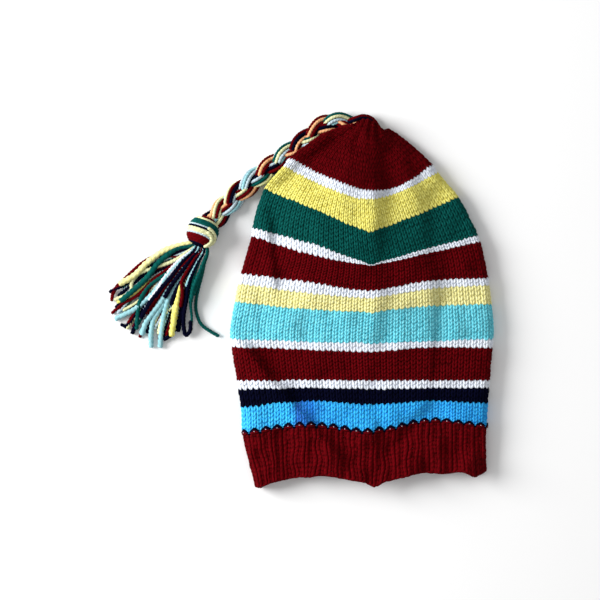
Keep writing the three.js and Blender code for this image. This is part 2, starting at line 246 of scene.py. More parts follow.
def yarn_material(name, dark, light, dyes=None):
    """Twisted yarn from its darker colour, painted shade in the plies' dents, to its colour on top."""
    nodes = Nodes(name)
    shader = nodes.shader
    for socket, value in YARN_FINISH.items():
        nodes.put(value, shader.inputs[socket])
    nodes.put((*light, 1), shader.inputs["Sheen Tint"])
    ply = nodes.add("ShaderNodeTexWave", bands_direction="DIAGONAL")
    nodes.put(PLIES * math.tau / WAVE_RADIANS, ply.inputs["Scale"])
    nodes.put(0.5, ply.inputs["Distortion"])
    nodes.put(nodes.add("ShaderNodeUVMap", uv_map="yarn").outputs["UV"], ply.inputs["Vector"])
    # The twist's wave darkens the dents between the plies as painted shade, and lifts the bump there too.
    twist = nodes.ramp(ply.outputs["Fac"], 0, 1, 0, TWIST_SHADE_AND_BUMP)
    fibre = nodes.ramp(nodes.noise(FIBRE_SIZE, 3.0), 0.3, 0.7, 0, FIBRE_TONE)
    heather = nodes.ramp(nodes.noise(HEATHER_SIZE), 0.3, 0.7, *HEATHER_TONE)
    colour = nodes.mix(nodes.sum(twist, fibre, heather), dark, light)
    nodes.put(dyed(nodes, colour, dyes) if dyes else colour, shader.inputs["Base Color"])
    bump = nodes.add("ShaderNodeBump")
    nodes.put(BUMP_STRENGTH, bump.inputs["Strength"])
    nodes.put(BUMP_HEIGHT, bump.inputs["Distance"])
    nodes.put(nodes.sum(twist, fibre), bump.inputs["Height"])
    nodes.put(bump.outputs["Normal"], shader.inputs["Normal"])
    return nodes.material


print("plies drawn on the yarn:", PLIES)

# %% [markdown]
# Eight yarns make the hat, and four more show in the plait and the tassel. The numbers are linear, as the
# shader wants them. Behind the stitches, where less light comes, darker copies of the same yarns stand in
# as painted shade. Pale yarns pass light on to one another, so their painted shade is lighter.

# %% The yarns' colours
# Each pair is a darker colour, painted shade in the plies' dents and low random tone, and the colour on top.
YARN_COLOURS = {
    "maroon": ((0.042, 0.0003, 0.0008), (0.134, 0.0006, 0.0030)),
    "white": ((0.55, 0.59, 0.69), (0.85, 0.89, 0.94)),
    "yellow": ((0.53, 0.45, 0.052), (0.92, 0.88, 0.27)),
    "pale_yellow": ((0.57, 0.51, 0.16), (0.92, 0.89, 0.46)),
    "green": ((0.0005, 0.033, 0.029), (0.0035, 0.103, 0.090)),
    "turquoise": ((0.038, 0.37, 0.47), (0.235, 0.75, 0.86)),
    "navy": ((0.0004, 0.0006, 0.004), (0.0014, 0.0018, 0.015)),
    "blue": ((0.010, 0.24, 0.68), (0.055, 0.58, 0.94)),
    "ice": ((0.32, 0.42, 0.47), (0.54, 0.67, 0.73)),
    "pale_turquoise": ((0.17, 0.38, 0.42), (0.36, 0.64, 0.69)),
    "cream": ((0.50, 0.50, 0.25), (0.82, 0.83, 0.50)),
    "orange": ((0.62, 0.25, 0.09), (0.92, 0.52, 0.28)),
}
DYES = {
    "blue": [
        (0.0, (1.5, 1.08, 1.0)), (0.225, (1.2, 1.06, 1.0)), (0.25, (0.75, 0.33, 0.62)),
        (0.31, (0.70, 0.52, 0.80)), (0.36, (1.0, 0.88, 0.97)), (0.5, (1.0, 0.95, 1.0)),
        (1.0, (0.85, 0.8, 0.92)),
    ],
}
# How far the painted shade behind the stitches darkens a yarn; pale yarns get less of it.
SHADE = 0.52
SHADE_OF_PALE = 0.86
PALE_FROM = 0.8


def shaded(name):
    """The same yarn painted darker, as painted shade for where it lies further in."""
    share = SHADE_OF_PALE if max(YARN_COLOURS[name][1]) > PALE_FROM else SHADE
    return yarn_material(f"shaded_{name}", *(tuple(share * c for c in tone) for tone in YARN_COLOURS[name]))


YARN = {name: yarn_material(f"yarn_{name}", *pair, DYES.get(name)) for name, pair in YARN_COLOURS.items()}
SHADED = {name: shaded(name) for name in YARN_COLOURS}
COLOURS = list(YARN)
print("yarns:", COLOURS)

# %% [markdown]
# ## Yarn as a straight stock
# The plait, the knot and the tassel are all of one yarn: three plies twisted together. One straight piece
# of it is a cylinder whose long sides are cut into rings. Its UV map runs once round it and a tenth of a
# unit along it, so the pattern of the plies leans.

# %% Yarn stock
YARN_SIDES = 9
PLY_LEAN = 0.1
stocks = {}


def yarn_stock(rings):
    """A straight yarn one unit long and two wide, made once for each number of rings."""
    if rings not in stocks:
        bm = bmesh.new()
        yarn_map = bm.loops.layers.uv.new("yarn")
        bmesh.ops.create_cone(bm, cap_ends=True, segments=YARN_SIDES, radius1=1, radius2=1, depth=1)
        bmesh.ops.translate(bm, verts=bm.verts, vec=(0, 0, 0.5))
        lengthwise = [e for e in bm.edges if abs(e.verts[0].co.z - e.verts[1].co.z) > 0.5]
        bmesh.ops.subdivide_edges(bm, edges=lengthwise, cuts=rings - 2, use_grid_fill=True)
        for face in bm.faces:
            middle = face.calc_center_median()
            facing = math.atan2(middle.y, middle.x)
            for loop in face.loops:
                co = loop.vert.co
                turn = math.remainder(math.atan2(co.y, co.x) - facing, math.tau) + facing
                loop[yarn_map].uv = (turn / math.tau, PLY_LEAN * co.z)
        stocks[rings] = mesh_of(bm, f"stock_{rings}")
    return stocks[rings].copy()


print("yarn has", YARN_SIDES, "sides")

# %% [markdown]
# Yarns follow lines of points. Three small functions measure a line, give its direction at each point, and
# set its points evenly.

# %% Lines of points
RING_STEP = 1.05 * MM
UP = np.array([0, 0, 1.0])


def lengths_along(points):
    """How far along the line each of its points lies."""
    return np.r_[0, np.cumsum(np.linalg.norm(np.diff(points, axis=0), axis=1))]


def directions(line):
    """The line's unit direction at each of its points."""
    tangent = np.gradient(line, axis=0)
    return tangent / np.linalg.norm(tangent, axis=1)[:, None]


def spaced_line(points, step):
    """Evenly set points of the straight pieces between the given ones."""
    points = np.asarray(points, float)
    along = lengths_along(points)
    count = max(4, int(round(along[-1] / step)) + 1)
    at = np.linspace(0, along[-1], count)
    return np.column_stack([np.interp(at, along, points[:, k]) for k in range(3)])


print("a yarn of 100 mm gets", len(spaced_line([(0, 0, 0), (100 * MM, 0, 0)], RING_STEP)), "rings")

# %% [markdown]
# The stock is bent along a line, one ring at each point. Every third side stands out, and each ring is
# turned a little further than the last, which gives the plies' ridges. A yarn gets narrower at its cut
# ends, and may start thinner where a knot pinches it.

# %% A yarn along a line
PLY_RIDGE = 0.15
TURNS_PER_WIDTH = 0.36
END_WIDTH = 0.72
PINCH_LENGTH = 60 * MM
STEEP = 0.2


def yarn_along(points, radius, colour, turned=0.0, pinch=1.0):
    """A twisted yarn through the points, in metres. Its start is pinched to a share of its radius."""
    line = spaced_line(points, RING_STEP)
    mesh = yarn_stock(len(line))
    stock = corners(mesh)
    ring = np.rint(stock[:, 2] * (len(line) - 1)).astype(int)
    tangent = directions(line)
    side = np.cross(tangent, UP)
    steep = np.linalg.norm(side, axis=1) < STEEP
    side[steep] = np.cross(tangent[steep], [1.0, 0, 0])
    side /= np.linalg.norm(side, axis=1)[:, None]
    over = np.cross(side, tangent)
    angle = np.arctan2(stock[:, 1], stock[:, 0])
    side_number = np.rint(angle / (math.tau / YARN_SIDES)).astype(int)
    ridge = np.where(side_number % PLIES == 0, 1 + PLY_RIDGE, 1 - PLY_RIDGE / 2)
    reach = radius * ridge * np.hypot(stock[:, 0], stock[:, 1])
    end = np.minimum(ring, len(line) - 1 - ring)
    reach *= np.where(end == 0, END_WIDTH, 1.0) * np.minimum(1, pinch + ring * RING_STEP / PINCH_LENGTH)
    turn = angle + turned + math.tau * TURNS_PER_WIDTH * ring * RING_STEP / (2 * radius)
    spread = side[ring] * (reach * np.cos(turn))[:, None] + over[ring] * (reach * np.sin(turn))[:, None]
    move_corners(mesh, line[ring] + spread)
    paint(mesh, colour)
    return mesh


print("plies stand out by", PLY_RIDGE, "of the yarn's radius")

# %% [markdown]
# ## Smooth curves through a few values
# A short table says where a few rows of the hat lie, and the curve between them has at each row a slope
# taken from its neighbours. The same function serves the plait's route, the knitting's rows and its height.

# %% Smooth curve
def smooth(keys, values, at):
    """Values at the points of a curve through values at keys. Rows of keys go with rows of points."""
    keys, values, at = (np.atleast_2d(a).astype(float) for a in (keys, values, at))
    width = np.diff(keys, axis=1)
    secant = np.diff(values, axis=1) / width
    weighed = secant[:, :-1] * width[:, 1:] + secant[:, 1:] * width[:, :-1]
    inner = weighed / (width[:, :-1] + width[:, 1:])
    slope = np.hstack([secant[:, :1], inner, secant[:, -1:]])
    row = (at[:, :, None] > keys[:, None, 1:-1]).sum(axis=2)

    def pick(rows, k):
        return np.take_along_axis(np.broadcast_to(rows, (len(at), rows.shape[1])), k, axis=1)

    span = pick(width, row)
    t = np.clip((at - pick(keys, row)) / span, 0, 1)
    rise = pick(values, row + 1) * (3 * t**2 - 2 * t**3) + pick(values, row) * (2 * t**3 - 3 * t**2 + 1)
    lean = pick(slope, row) * (t**3 - 2 * t**2 + t) + pick(slope, row + 1) * (t**3 - t**2)
    return rise + lean * span


def smooth_line(points, count):
    """Evenly set points of a smooth curve through the given ones."""
    points = np.asarray(points, float)
    along = lengths_along(points)
    at = np.linspace(0, along[-1], count)
    return np.column_stack([smooth(along, points[:, k], at)[0] for k in range(points.shape[1])])


print("halfway up a smooth step:", smooth([0, 1, 2, 3], [0, 0, 1, 1], [1.5])[0, 0])

# %% [markdown]
# ## The plait
# Three strands, each a bundle of eight yarns, pass over one another by turns. Seen from above a strand
# sways from side to side in a sine, and it dives twice as often, which is what makes a plait a plait.
# The route repeats the one that the frame's solid follows. A short table pushes the plait a little to
# its outer side or back, by places along it, as the real one lies.

# %% Route and strands of the plait
PLAIT_ROUTE = [
    (10.6, 145.5), (9.2, 150.4), (5.7, 154.4), (1.0, 157.0), (-5.0, 158.2), (-15.8, 158.2),
    (-27.3, 155.8), (-38.7, 149.6), (-50.2, 140.7), (-63.0, 130.6), (-77.4, 120.2), (-92.0, 109.8),
    (-105.0, 99.2), (-117.9, 86.6), (-127.5, 76.2), (-134.0, 69.5),
]
PLAIT_HEIGHT = 11 * MM
PLAIT_CLEAR = 0.1 * MM
LOBE_SPACING = 18.6 * MM
SWAY = 4.5 * MM
DIVE = 1.9 * MM
BUNDLE_RADIUS = 4.2 * MM
BUNDLE_FLATNESS = 0.62
PLAIT_YARN = 1.4 * MM
SHADE_CORE_YARN = 2.5 * MM
BUNDLE_TURN = -0.8
PLAIT_PHASE = 1.95
TWISTED_FROM = 15.0
ROUTE_POINTS = 400
PUSHED_OUT = [
    (0, 0.8), (12, 0.2), (26, -2.4), (36, 0.4), (46, 2.4), (62, 1.0), (84, 1.0), (104, 0.9), (120, 0.5),
    (190, 0),
]
STRANDS = [
    ("maroon", "orange", "maroon", "navy", "orange", "cream", "maroon", "cream"),
    ("green", "cream", "ice", "pale_turquoise", "cream", "maroon", "navy", "ice"),
    ("maroon", "navy", "orange", "maroon", "ice", "pale_turquoise", "ice", "navy"),
]

flat_route = smooth_line(np.array(PLAIT_ROUTE) * MM, ROUTE_POINTS)
plait_line = np.column_stack([flat_route, np.full(len(flat_route), PLAIT_HEIGHT / 2 + PLAIT_CLEAR)])
plait_side = np.cross(directions(plait_line), UP)
plait_along = lengths_along(plait_line)
print("plait", round(plait_along[-1] / MM), "mm long")

# %% [markdown]
# Each yarn is bent along its own line round its bundle's middle, and a thick dark yarn in that middle
# closes the bundle and shows in the gaps between the yarns as painted shade. The bundles lie untwisted at
# first, and turn over slowly past the plait's middle.

# %% Plait
def plait_yarns():
    """The dark core of each strand, painted shade for the gaps, and then its eight yarns."""
    along, out = np.array(PUSHED_OUT).T * MM
    pushed = smooth(along, out, plait_along)[0]
    for strand, colours in enumerate(STRANDS):
        phase = PLAIT_PHASE + math.tau * (plait_along / (3 * LOBE_SPACING) + strand / 3)
        sway = pushed + SWAY * np.sin(phase)
        dive = -DIVE * np.sin(2 * phase)
        middle = plait_line + plait_side * sway[:, None] + UP * dive[:, None]
        # A thick navy core, seen only in the gaps between the yarns: painted shade.
        yield yarn_along(middle, SHADE_CORE_YARN, "navy")
        for k, colour in enumerate(colours):
            turn = np.maximum(phase, TWISTED_FROM) / 2 + math.tau * k / len(colours) + BUNDLE_TURN
            aside = sway + BUNDLE_RADIUS * np.cos(turn)
            high = dive + BUNDLE_RADIUS * BUNDLE_FLATNESS * np.sin(turn)
            line = plait_line + plait_side * aside[:, None] + UP * high[:, None]
            yield yarn_along(line, PLAIT_YARN, colour, turned=k)


plait_mesh = joined("plaited_cord", plait_yarns())
plait = piece_of("plaited_cord", plait_mesh, ["plait"], YARN.values())

# %% [markdown]
# ## The knot
# The plait's end is knotted on itself, so the same yarns wrap round it aslant. A table gives each wrap its
# colour, its place along the knot from -1 to 1, and its half thickness in millimetres. Two more yarns
# come round the right side over the wraps.

# %% Sizes and wraps of the knot
KNOT = np.array([-140.1, 62.0, 11.1]) * MM
KNOT_LENGTH = 29 * MM
KNOT_WIDTH = 28.4 * MM
KNOT_HEIGHT = 22 * MM
HEADING = np.array([-0.36, -0.93, 0]) / math.hypot(0.36, 0.93)
ASIDE = np.cross(UP, HEADING)
WRAPS = [
    ("maroon", -0.95, 1.3), ("cream", -0.82, 1.5), ("green", -0.69, 1.5), ("green", -0.57, 1.6),
    ("green", -0.46, 1.4), ("ice", -0.36, 0.9), ("navy", -0.25, 1.4), ("cream", -0.10, 1.7),
    ("cream", 0.04, 1.7), ("ice", 0.17, 1.2), ("maroon", 0.29, 1.6), ("maroon", 0.42, 1.6),
    ("maroon", 0.55, 1.6), ("maroon", 0.67, 1.5), ("navy", 0.80, 1.5), ("navy", 0.91, 1.4),
]
CURLS = [
    ("cream", 1.5, [(-0.34, 0.25), (-0.24, 0.58), (0.02, 0.84), (0.40, 0.92), (0.74, 0.86)]),
    ("cream", 1.7, [(-0.10, 0.28), (0.02, 0.56), (0.28, 0.74), (0.56, 0.76), (0.82, 0.70)]),
]
print("wraps of the knot:", len(WRAPS), "and curls:", len(CURLS))

# %% [markdown]
# The knot is a rounded form that follows the frame's solid. Each wrap is a closed line round its long
# axis, bowed so that it runs aslant over the top. A dark ball of the same form fills the inside.

# %% Knot
FULLNESS = 2.3
ROUNDING = 0.52
FARTHEST = 0.995
BOW = 0.30
BEND = 0.34
WRAP_POINTS = 73
WRAP_REACH = 0.97
CURL_POINTS = 40
CURL_SUNK = 0.2
CORE_INSET = 2.2 * MM
CORE_REACH = 0.95


def knot_radius(share):
    """The knot's half width at a share of its half length."""
    return (1 - np.clip(np.abs(share), 0, FARTHEST) ** FULLNESS) ** ROUNDING


def knot_point(share, turn, inset):
    """A point of the knot's round. A turn of zero is at the right of the picture, a quarter turn on top."""
    out = knot_radius(share)
    aside = ASIDE * ((KNOT_WIDTH / 2 - inset) * out * np.cos(turn))[:, None]
    raised = UP * ((KNOT_HEIGHT / 2 - inset) * out * np.sin(turn))[:, None]
    return KNOT + HEADING * ((KNOT_LENGTH / 2 - inset) * share)[:, None] + aside + raised


def knot_meshes():
    turn = np.linspace(0, math.tau, WRAP_POINTS)
    for colour, place, thick in WRAPS:
        bowed = BOW * (1 - np.sin(turn)) / 2 + BEND * np.clip(np.cos(turn), 0, 1) ** 3
        share = np.clip(place + bowed * (1 - place**2), -WRAP_REACH, WRAP_REACH)
        yield yarn_along(knot_point(share, turn, thick * MM), thick * MM, colour)
    for colour, thick, places in CURLS:
        line = smooth_line(places, CURL_POINTS)
        turned = np.arccos(np.clip(line[:, 1], -1, 1))
        yield yarn_along(knot_point(line[:, 0], turned, CURL_SUNK * thick * MM), thick * MM, colour)
    core = bmesh.new()
    core.loops.layers.uv.new("yarn")
    bmesh.ops.create_uvsphere(core, u_segments=24, v_segments=16, radius=1, calc_uvs=True)
    mesh = mesh_of(core, "core")
    ball = corners(mesh)
    turned = np.arctan2(ball[:, 1], ball[:, 0])
    move_corners(mesh, knot_point(ball[:, 2] * CORE_REACH, turned, CORE_INSET))
    paint(mesh, "navy")
    yield mesh


knot_mesh = joined("wrapped_knot", knot_meshes())
knot = piece_of("wrapped_knot", knot_mesh, ["plait_knot"], YARN.values())

# %% [markdown]
# ## The tassel
# Below the knot the yarns fan out over the floor. The ones that show best are drawn in a table:
# colour, half thickness, how high each rides over its neighbours, and where it passes, in millimetres.
# Some turn back on themselves as loops.

# %% Drawn yarns of the tassel
TASSEL_YARNS = [
    ("pale_yellow", 2.6, 2.6, [(-148, 53), (-158, 51), (-175, 45), (-190, 34), (-200, 24), (-214, 16)]),
    ("maroon", 1.3, 2.4, [(-150, 50), (-170, 45), (-184, 40), (-194, 29), (-208, 17), (-219, 11), (-221, 2)]),
    ("maroon", 2.0, 1.2, [(-216, 13), (-219, 8), (-221, 1)]),
    ("navy", 1.5, 2.0, [(-150, 49), (-165, 43), (-179, 36), (-198, 23), (-209, 16), (-223, 9)]),
    ("ice", 1.5, 1.0, [(-150, 48), (-172, 38), (-192, 24), (-207, 13), (-214, 6)]),
    ("ice", 1.4, 0.8, [(-150, 48), (-176, 36), (-196, 18), (-208, 8), (-212, 2)]),
    ("green", 2.4, 3.2, [(-150, 50), (-161, 48), (-179, 35), (-190, 21), (-201, 11), (-213, 1)]),
    ("cream", 1.7, 2.4, [(-152, 46), (-165, 37), (-185, 30), (-198, 24), (-203, 17), (-203, 11), (-218, 2)]),
    ("yellow", 1.7, 1.4, [(-150, 46), (-190, 16), (-204, 6), (-216, 0)]),
    ("maroon", 1.4, 2.8, [(-150, 47), (-166, 33), (-184, 20), (-198, 6), (-212, -2), (-221, -10)]),
    ("cream", 1.4, 1.2, [(-150, 46), (-170, 27), (-192, 6), (-200, -1), (-211, -7)]),
    ("pale_turquoise", 2.2, 1.6, [(-150, 46), (-168, 26), (-184, 8), (-202, -7), (-212, -12), (-218, -15)]),
    ("navy", 1.5, 1.2, [(-148, 46), (-172, 20), (-190, 2), (-201, -12), (-204, -18),
                        (-209, -21), (-213, -19)]),
    ("green", 1.9, 2.4, [(-148, 47), (-170, 27), (-190, 12), (-196, 0), (-198, -14), (-199, -24)]),
    ("navy", 1.9, 0.8, [(-148, 46), (-168, 22), (-186, 4), (-197, -14), (-203, -28)]),
    ("white", 1.6, 3.0, [(-147, 49), (-160, 38), (-174, 22), (-181, 10), (-188, 2)]),
    ("ice", 1.5, 1.4, [(-147, 49), (-164, 30), (-180, 10), (-192, 0), (-197, -4)]),
    ("pale_turquoise", 1.5, 3.4, [(-146, 50), (-155, 40), (-166, 30), (-176, 17)]),
    ("white", 1.3, 3.6, [(-145, 50), (-153, 41), (-163, 32), (-172, 22)]),
    ("navy", 2.0, 3.4, [(-146, 48), (-158, 36), (-166, 25), (-185, 2), (-195, -14)]),
    ("navy", 1.6, 3.6, [(-146, 49), (-160, 33), (-172, 18), (-182, 4)]),
    ("navy", 2.0, 3.4, [(-143, 48), (-150, 39), (-158, 28), (-167, 16), (-174, 4)]),
    ("navy", 1.8, 3.0, [(-142, 48), (-147, 36), (-155, 24), (-163, 12), (-168, -2)]),
    ("maroon", 1.6, 3.2, [(-146, 47), (-163, 27), (-177, 9), (-186, -2), (-191, -10)]),
    ("maroon", 1.4, 1.4, [(-146, 47), (-166, 22), (-182, 0), (-190, -16), (-194, -22)]),
    ("pale_turquoise", 2.3, 1.6, [(-144, 48), (-156, 33), (-170, 14), (-176, 2), (-184, -9),
                                  (-191, -19), (-194, -29)]),
    ("pale_turquoise", 2.2, 1.0, [(-143, 48), (-154, 30), (-168, 10), (-178, -6), (-184, -16),
                                  (-186, -28), (-186, -40)]),
    ("pale_turquoise", 2.2, 1.4, [(-142, 48), (-151, 33), (-162, 17), (-171, 2), (-175, -14),
                                  (-177, -27), (-178, -40)]),
    ("cream", 1.8, 1.0, [(-142, 47), (-154, 22), (-165, -2), (-173, -10), (-177, -17), (-179, -28)]),
    ("yellow", 2.6, 3.0, [(-160, 17), (-162, 4), (-165, -12), (-168, -30)]),
    ("yellow", 1.6, 3.4, [(-157, 22), (-160, 12), (-164, 0), (-167, -14)]),
    ("navy", 1.8, 2.2, [(-140, 48), (-150, 28), (-155, 2), (-163, -20), (-170, -30), (-175, -33)]),
    ("navy", 1.9, 1.4, [(-141, 48), (-152, 22), (-158, 0), (-161, -18), (-162, -26)]),
    ("maroon", 1.5, 4.0, [(-141, 48), (-147, 39), (-153, 29), (-159, 17), (-158, 8), (-160, -4)]),
    ("maroon", 1.5, 1.4, [(-141, 48), (-150, 26), (-156, 6), (-160, -12), (-164, -22)]),
    ("pale_turquoise", 1.4, 3.4, [(-140, 46), (-145, 36), (-150, 26), (-155, 14)]),
    ("navy", 1.8, 3.2, [(-139, 48), (-145, 34), (-152, 18), (-155, 0), (-157, -12), (-157, -22), (-155, -29),
                        (-152, -26), (-151, -16)]),
    ("green", 1.4, 2.8, [(-155, -29), (-151, -24), (-150, -14), (-151, -2), (-150, 12), (-147, 26),
                         (-141, 42)]),
    ("green", 1.8, 3.8, [(-137, 48), (-141, 31), (-148, 14), (-151, 0)]),
    ("green", 1.8, 2.6, [(-136, 48), (-139, 36), (-144, 20), (-149, 6)]),
    ("green", 1.5, 0.0, [(-136, 47), (-139, 33), (-142, 20), (-144, 13), (-146, -9), (-142, -19), (-133, -26),
                         (-126, -30)]),
]
print("drawn yarns:", len(TASSEL_YARNS))

# %% [markdown]
# The knot pinches the yarns. From there they swell, sink to the floor in a curve and ride over one
# another on the way.

# %% How a yarn falls
ROOT_INSIDE = 2.5 * MM
ROOT = KNOT + HEADING * (KNOT_LENGTH / 2 - ROOT_INSIDE)
LEVEL = 2.1 * MM
LEAVES_AT = 13 * MM
NEAR_KNOT = 25 * MM
STARTS_INSIDE = 3 * MM
TASSEL_LENGTH = 95 * MM
SINKING = 2.2
YARN_POINTS = 90


def tassel_yarn(points, radius, level):
    """Points of a yarn that leaves the knot high up and comes down to the floor."""
    from_knot = math.hypot(points[0][0] * MM - ROOT[0], points[0][1] * MM - ROOT[1])
    start = [ROOT[:2] - HEADING[:2] * STARTS_INSIDE] if from_knot < NEAR_KNOT else []
    flat = smooth_line([*start, *(np.array(points) * MM)], YARN_POINTS)
    away = np.clip(np.hypot(*(flat - ROOT[:2]).T) / TASSEL_LENGTH, 0, 1)
    fall = (1 - away) ** SINKING
    ride = level * LEVEL * (1 - away**3) * (1 - fall)
    high = radius + (LEAVES_AT - radius) * fall + ride
    return np.column_stack([flat, high])


first_line = tassel_yarn(TASSEL_YARNS[0][-1], 2 * MM, 0)
print("a yarn sinks from", *np.round(first_line[[0, -1], 2] / MM, 1), "mm")

# %% [markdown]
# Under the drawn yarns a fan of plain ones fills the bunch. Their angle, length, bow and height come from
# a seeded draw, so they are the same each time.

# %% Yarns that fill the tassel
FILL_YARNS = 44
FILL_SEED = 7
FILL_RADIUS = 1.5 * MM
FILL_FROM = 6 * MM
FILL_LENGTH = 74
FILL_BULGE = 16
FILL_SHORTER = (-14, 4)
FILL_LEVELS = (-0.2, 1.6)
FAN_FROM = 203
FAN_SPREAD = 54
FAN_UNEVEN = 1.5
FAN_BOW = 7
FAN_BOW_UNEVEN = 4
FILL_COLOURS = ("navy", "maroon", "ice", "green", "navy", "pale_turquoise", "navy", "navy", "maroon", "cream")


def fill_yarns():
    """Plain yarns below the drawn ones. Angles are degrees and lengths millimetres."""
    draw = np.random.default_rng(FILL_SEED)
    for k in range(FILL_YARNS):
        share = (k + 0.5) / FILL_YARNS
        angle = math.radians(FAN_FROM + FAN_SPREAD * share + draw.uniform(-FAN_UNEVEN, FAN_UNEVEN))
        length = (FILL_LENGTH + FILL_BULGE * math.sin(math.pi * share) + draw.uniform(*FILL_SHORTER)) * MM
        way = np.array([math.cos(angle), math.sin(angle)])
        bow = draw.uniform(-FAN_BOW_UNEVEN, FAN_BOW_UNEVEN) - FAN_BOW * (1 - share)
        across = np.array([-way[1], way[0]]) * bow * MM
        leaves = ROOT[:2] + HEADING[:2] * FILL_FROM
        points = [leaves, leaves + way * length * 0.5 + across, leaves + way * length]
        colour = FILL_COLOURS[k % len(FILL_COLOURS)]
        yield [tuple(p / MM) for p in points], colour, draw.uniform(*FILL_LEVELS)


print("filling yarns:", len(list(fill_yarns())))

# %% [markdown]
# All yarns of the tassel are one piece.

# %% Tassel
PINCHED = 0.5


def tassel_meshes():
    for k, (colour, radius, level, points) in enumerate(TASSEL_YARNS):
        line = tassel_yarn(points, radius * MM, level)
        yield yarn_along(line, radius * MM, colour, turned=k, pinch=PINCHED)
    for points, colour, level in fill_yarns():
        line = tassel_yarn(points, FILL_RADIUS, max(level, 0))
        yield yarn_along(line, FILL_RADIUS, colour, pinch=PINCHED)


tassel_mesh = joined("yarn_tassel", tassel_meshes())
tassel = piece_of("yarn_tassel", tassel_mesh, ["tassel"], YARN.values())

# %% [markdown]
# ## The hat's surface
# Knitting is a tube of rounds. Two short tables say where a few rounds lie, seen from above, and how
# thick the flattened tube is there, in millimetres. From them functions give the point at any share of
# the way round, at any round: over the left fold, across the front, over the right fold and back
# underneath. Smooth curves join the rows of a table.

# %% Tables of the rounds
RIB_END = 12
CROWN_START = 75
CLOSED = 92


def table(columns, *rows):
    """Each column's values under its name."""
    return dict(zip(columns.split(), np.array(rows, float).T))


ROUNDS = table(
    "round leftX creaseX rightX leftY midLeftY creaseY midRightY rightY nick backY",
    (0, -94.8, 11.4, 110.6, -160.8, -151.2, -157.0, -147.4, -147.2, 3.6, -145.5),
    (3, -97.6, 11.0, 110.0, -149.8, -140.6, -146.4, -136.6, -137.8, 1.8, -135.8),
    (12, -105.6, 9.7, 110.3, -116.0, -108.4, -114.0, -104.4, -109.6, 0.0, -107.0),
    (18, -106.9, 8.8, 111.2, -92.5, -86.8, -89.8, -86.8, -89.0, 0.0, -87.0),
    (21, -109.3, 8.8, 112.2, -77.1, -75.3, -76.2, -75.3, -75.3, 0.0, -75.0),
    (23, -110.4, 8.8, 112.8, -69.2, -68.3, -68.7, -68.7, -68.7, 0.0, -68.0),
    (31, -115.2, 8.8, 115.2, -39.2, -41.4, -43.2, -39.7, -40.1, 0.4, -40.0),
    (33, -116.2, 8.8, 116.0, -31.8, -34.4, -35.7, -34.0, -32.2, 0.9, -33.0),
    (42, -112.2, 7.9, 114.4, 0.4, -5.8, -8.0, -3.2, -1.8, 1.8, -3.0),
    (46, -109.4, 7.0, 112.5, 16.2, 8.3, 4.3, 11.8, 14.9, 1.3, 9.0),
    (48, -107.0, 7.0, 111.4, 25.4, 18.0, 10.5, 18.8, 21.5, 0.0, 15.0),
    (56, -97.9, 7.9, 104.4, 58.4, 41.7, 33.4, 42.6, 53.6, 1.3, 43.0),
    (58, -96.8, 7.9, 102.4, 65.5, 51.4, 35.6, 46.7, 59.0, 2.6, 50.0),
    (66, -86.2, 7.0, 85.2, 99.8, 80.4, 63.7, 76.0, 92.8, 2.6, 76.0),
    (73, -69.5, 7.0, 66.9, 120.0, 100.7, 90.1, 98.5, 114.8, 0.0, 99.0),
    (75, -64.2, 7.9, 62.4, 127.1, 108.6, 98.0, 103.3, 121.4, 0.0, 105.0),
    (79, -51.0, 7.9, 48.4, 137.6, 124.4, 113.9, 119.2, 135.0, 0.0, 117.0),
    (83, -36.1, 7.9, 35.2, 147.8, 137.6, 129.7, 133.2, 146.0, 0.0, 127.5),
    (87, -21.1, 7.0, 24.6, 154.4, 149.5, 146.5, 147.5, 153.0, 0.0, 136.5),
    (90, -10.5, 5.5, 20.0, 157.0, 158.0, 158.4, 156.4, 152.5, 0.0, 141.0),
    (91.3, -6.0, 5.5, 18.5, 156.5, 160.4, 161.3, 158.2, 151.5, 0.0, 142.5),
    (92, 0.9, 8.8, 16.7, 150.8, 153.2, 154.2, 152.4, 148.2, 0.0, 144.0),
)
THICKNESS = table(
    "round middle side fold",
    (0, 19.5, 13.2, 6.5), (12, 19.5, 13.6, 6.8), (23, 20.5, 14.0, 7.0), (46, 22.0, 14.0, 7.5),
    (66, 23.0, 13.0, 8.5), (75, 22.5, 12.0, 10.0), (83, 20.5, 11.0, 11.0), (87, 17.0, 10.0, 9.5),
    (90, 12.0, 8.0, 7.0), (91.3, 7.0, 5.0, 6.0), (92, 2.0, 1.6, 4.0),
)
print("the hat is", round(ROUNDS["rightX"].max() - ROUNDS["leftX"].min(), 1), "mm wide")

# %% [markdown]
# Seen from above a round isn't straight. Across the front it sags from both folds to a crease in the
# middle, with a small nick there. Underneath it is one bow. The first rounds follow the hem's low lobes.

# %% Rounds seen from above
NICK_REACH = 6
HEM_LOBES = table("x reach depth", (-90, 5, 2.4), (-46, 5, 1.3), (72, 13, 3.2), (99, 7, 5.8))
LOBE_ROUNDS = 4


def smoothstep(x, low, high):
    t = np.clip((x - low) / (high - low), 0, 1)
    return t * t * (3 - 2 * t)


def hem_wave(ring, x):
    """How far the hem's lobes hang down, at the first few rounds."""
    fade = 1 - smoothstep(ring["at"], 0, LOBE_ROUNDS)
    lobes = zip(HEM_LOBES["x"], HEM_LOBES["reach"], HEM_LOBES["depth"])
    return fade * sum(depth * np.exp(-(((x - at) / reach) ** 2)) for at, reach, depth in lobes)


def front_y(ring, x):
    """The front's Y at each X of the rounds."""
    left, crease, right = ring["leftX"], ring["creaseX"], ring["rightX"]
    keys = np.hstack([left, (left + crease) / 2, crease, (crease + right) / 2, right])
    values = np.hstack([ring[k] for k in ("leftY", "midLeftY", "creaseY", "midRightY", "rightY")])
    nick = ring["nick"] * np.exp(-(((x - crease) / NICK_REACH) ** 2))
    return smooth(keys, values, x) - nick - hem_wave(ring, x)


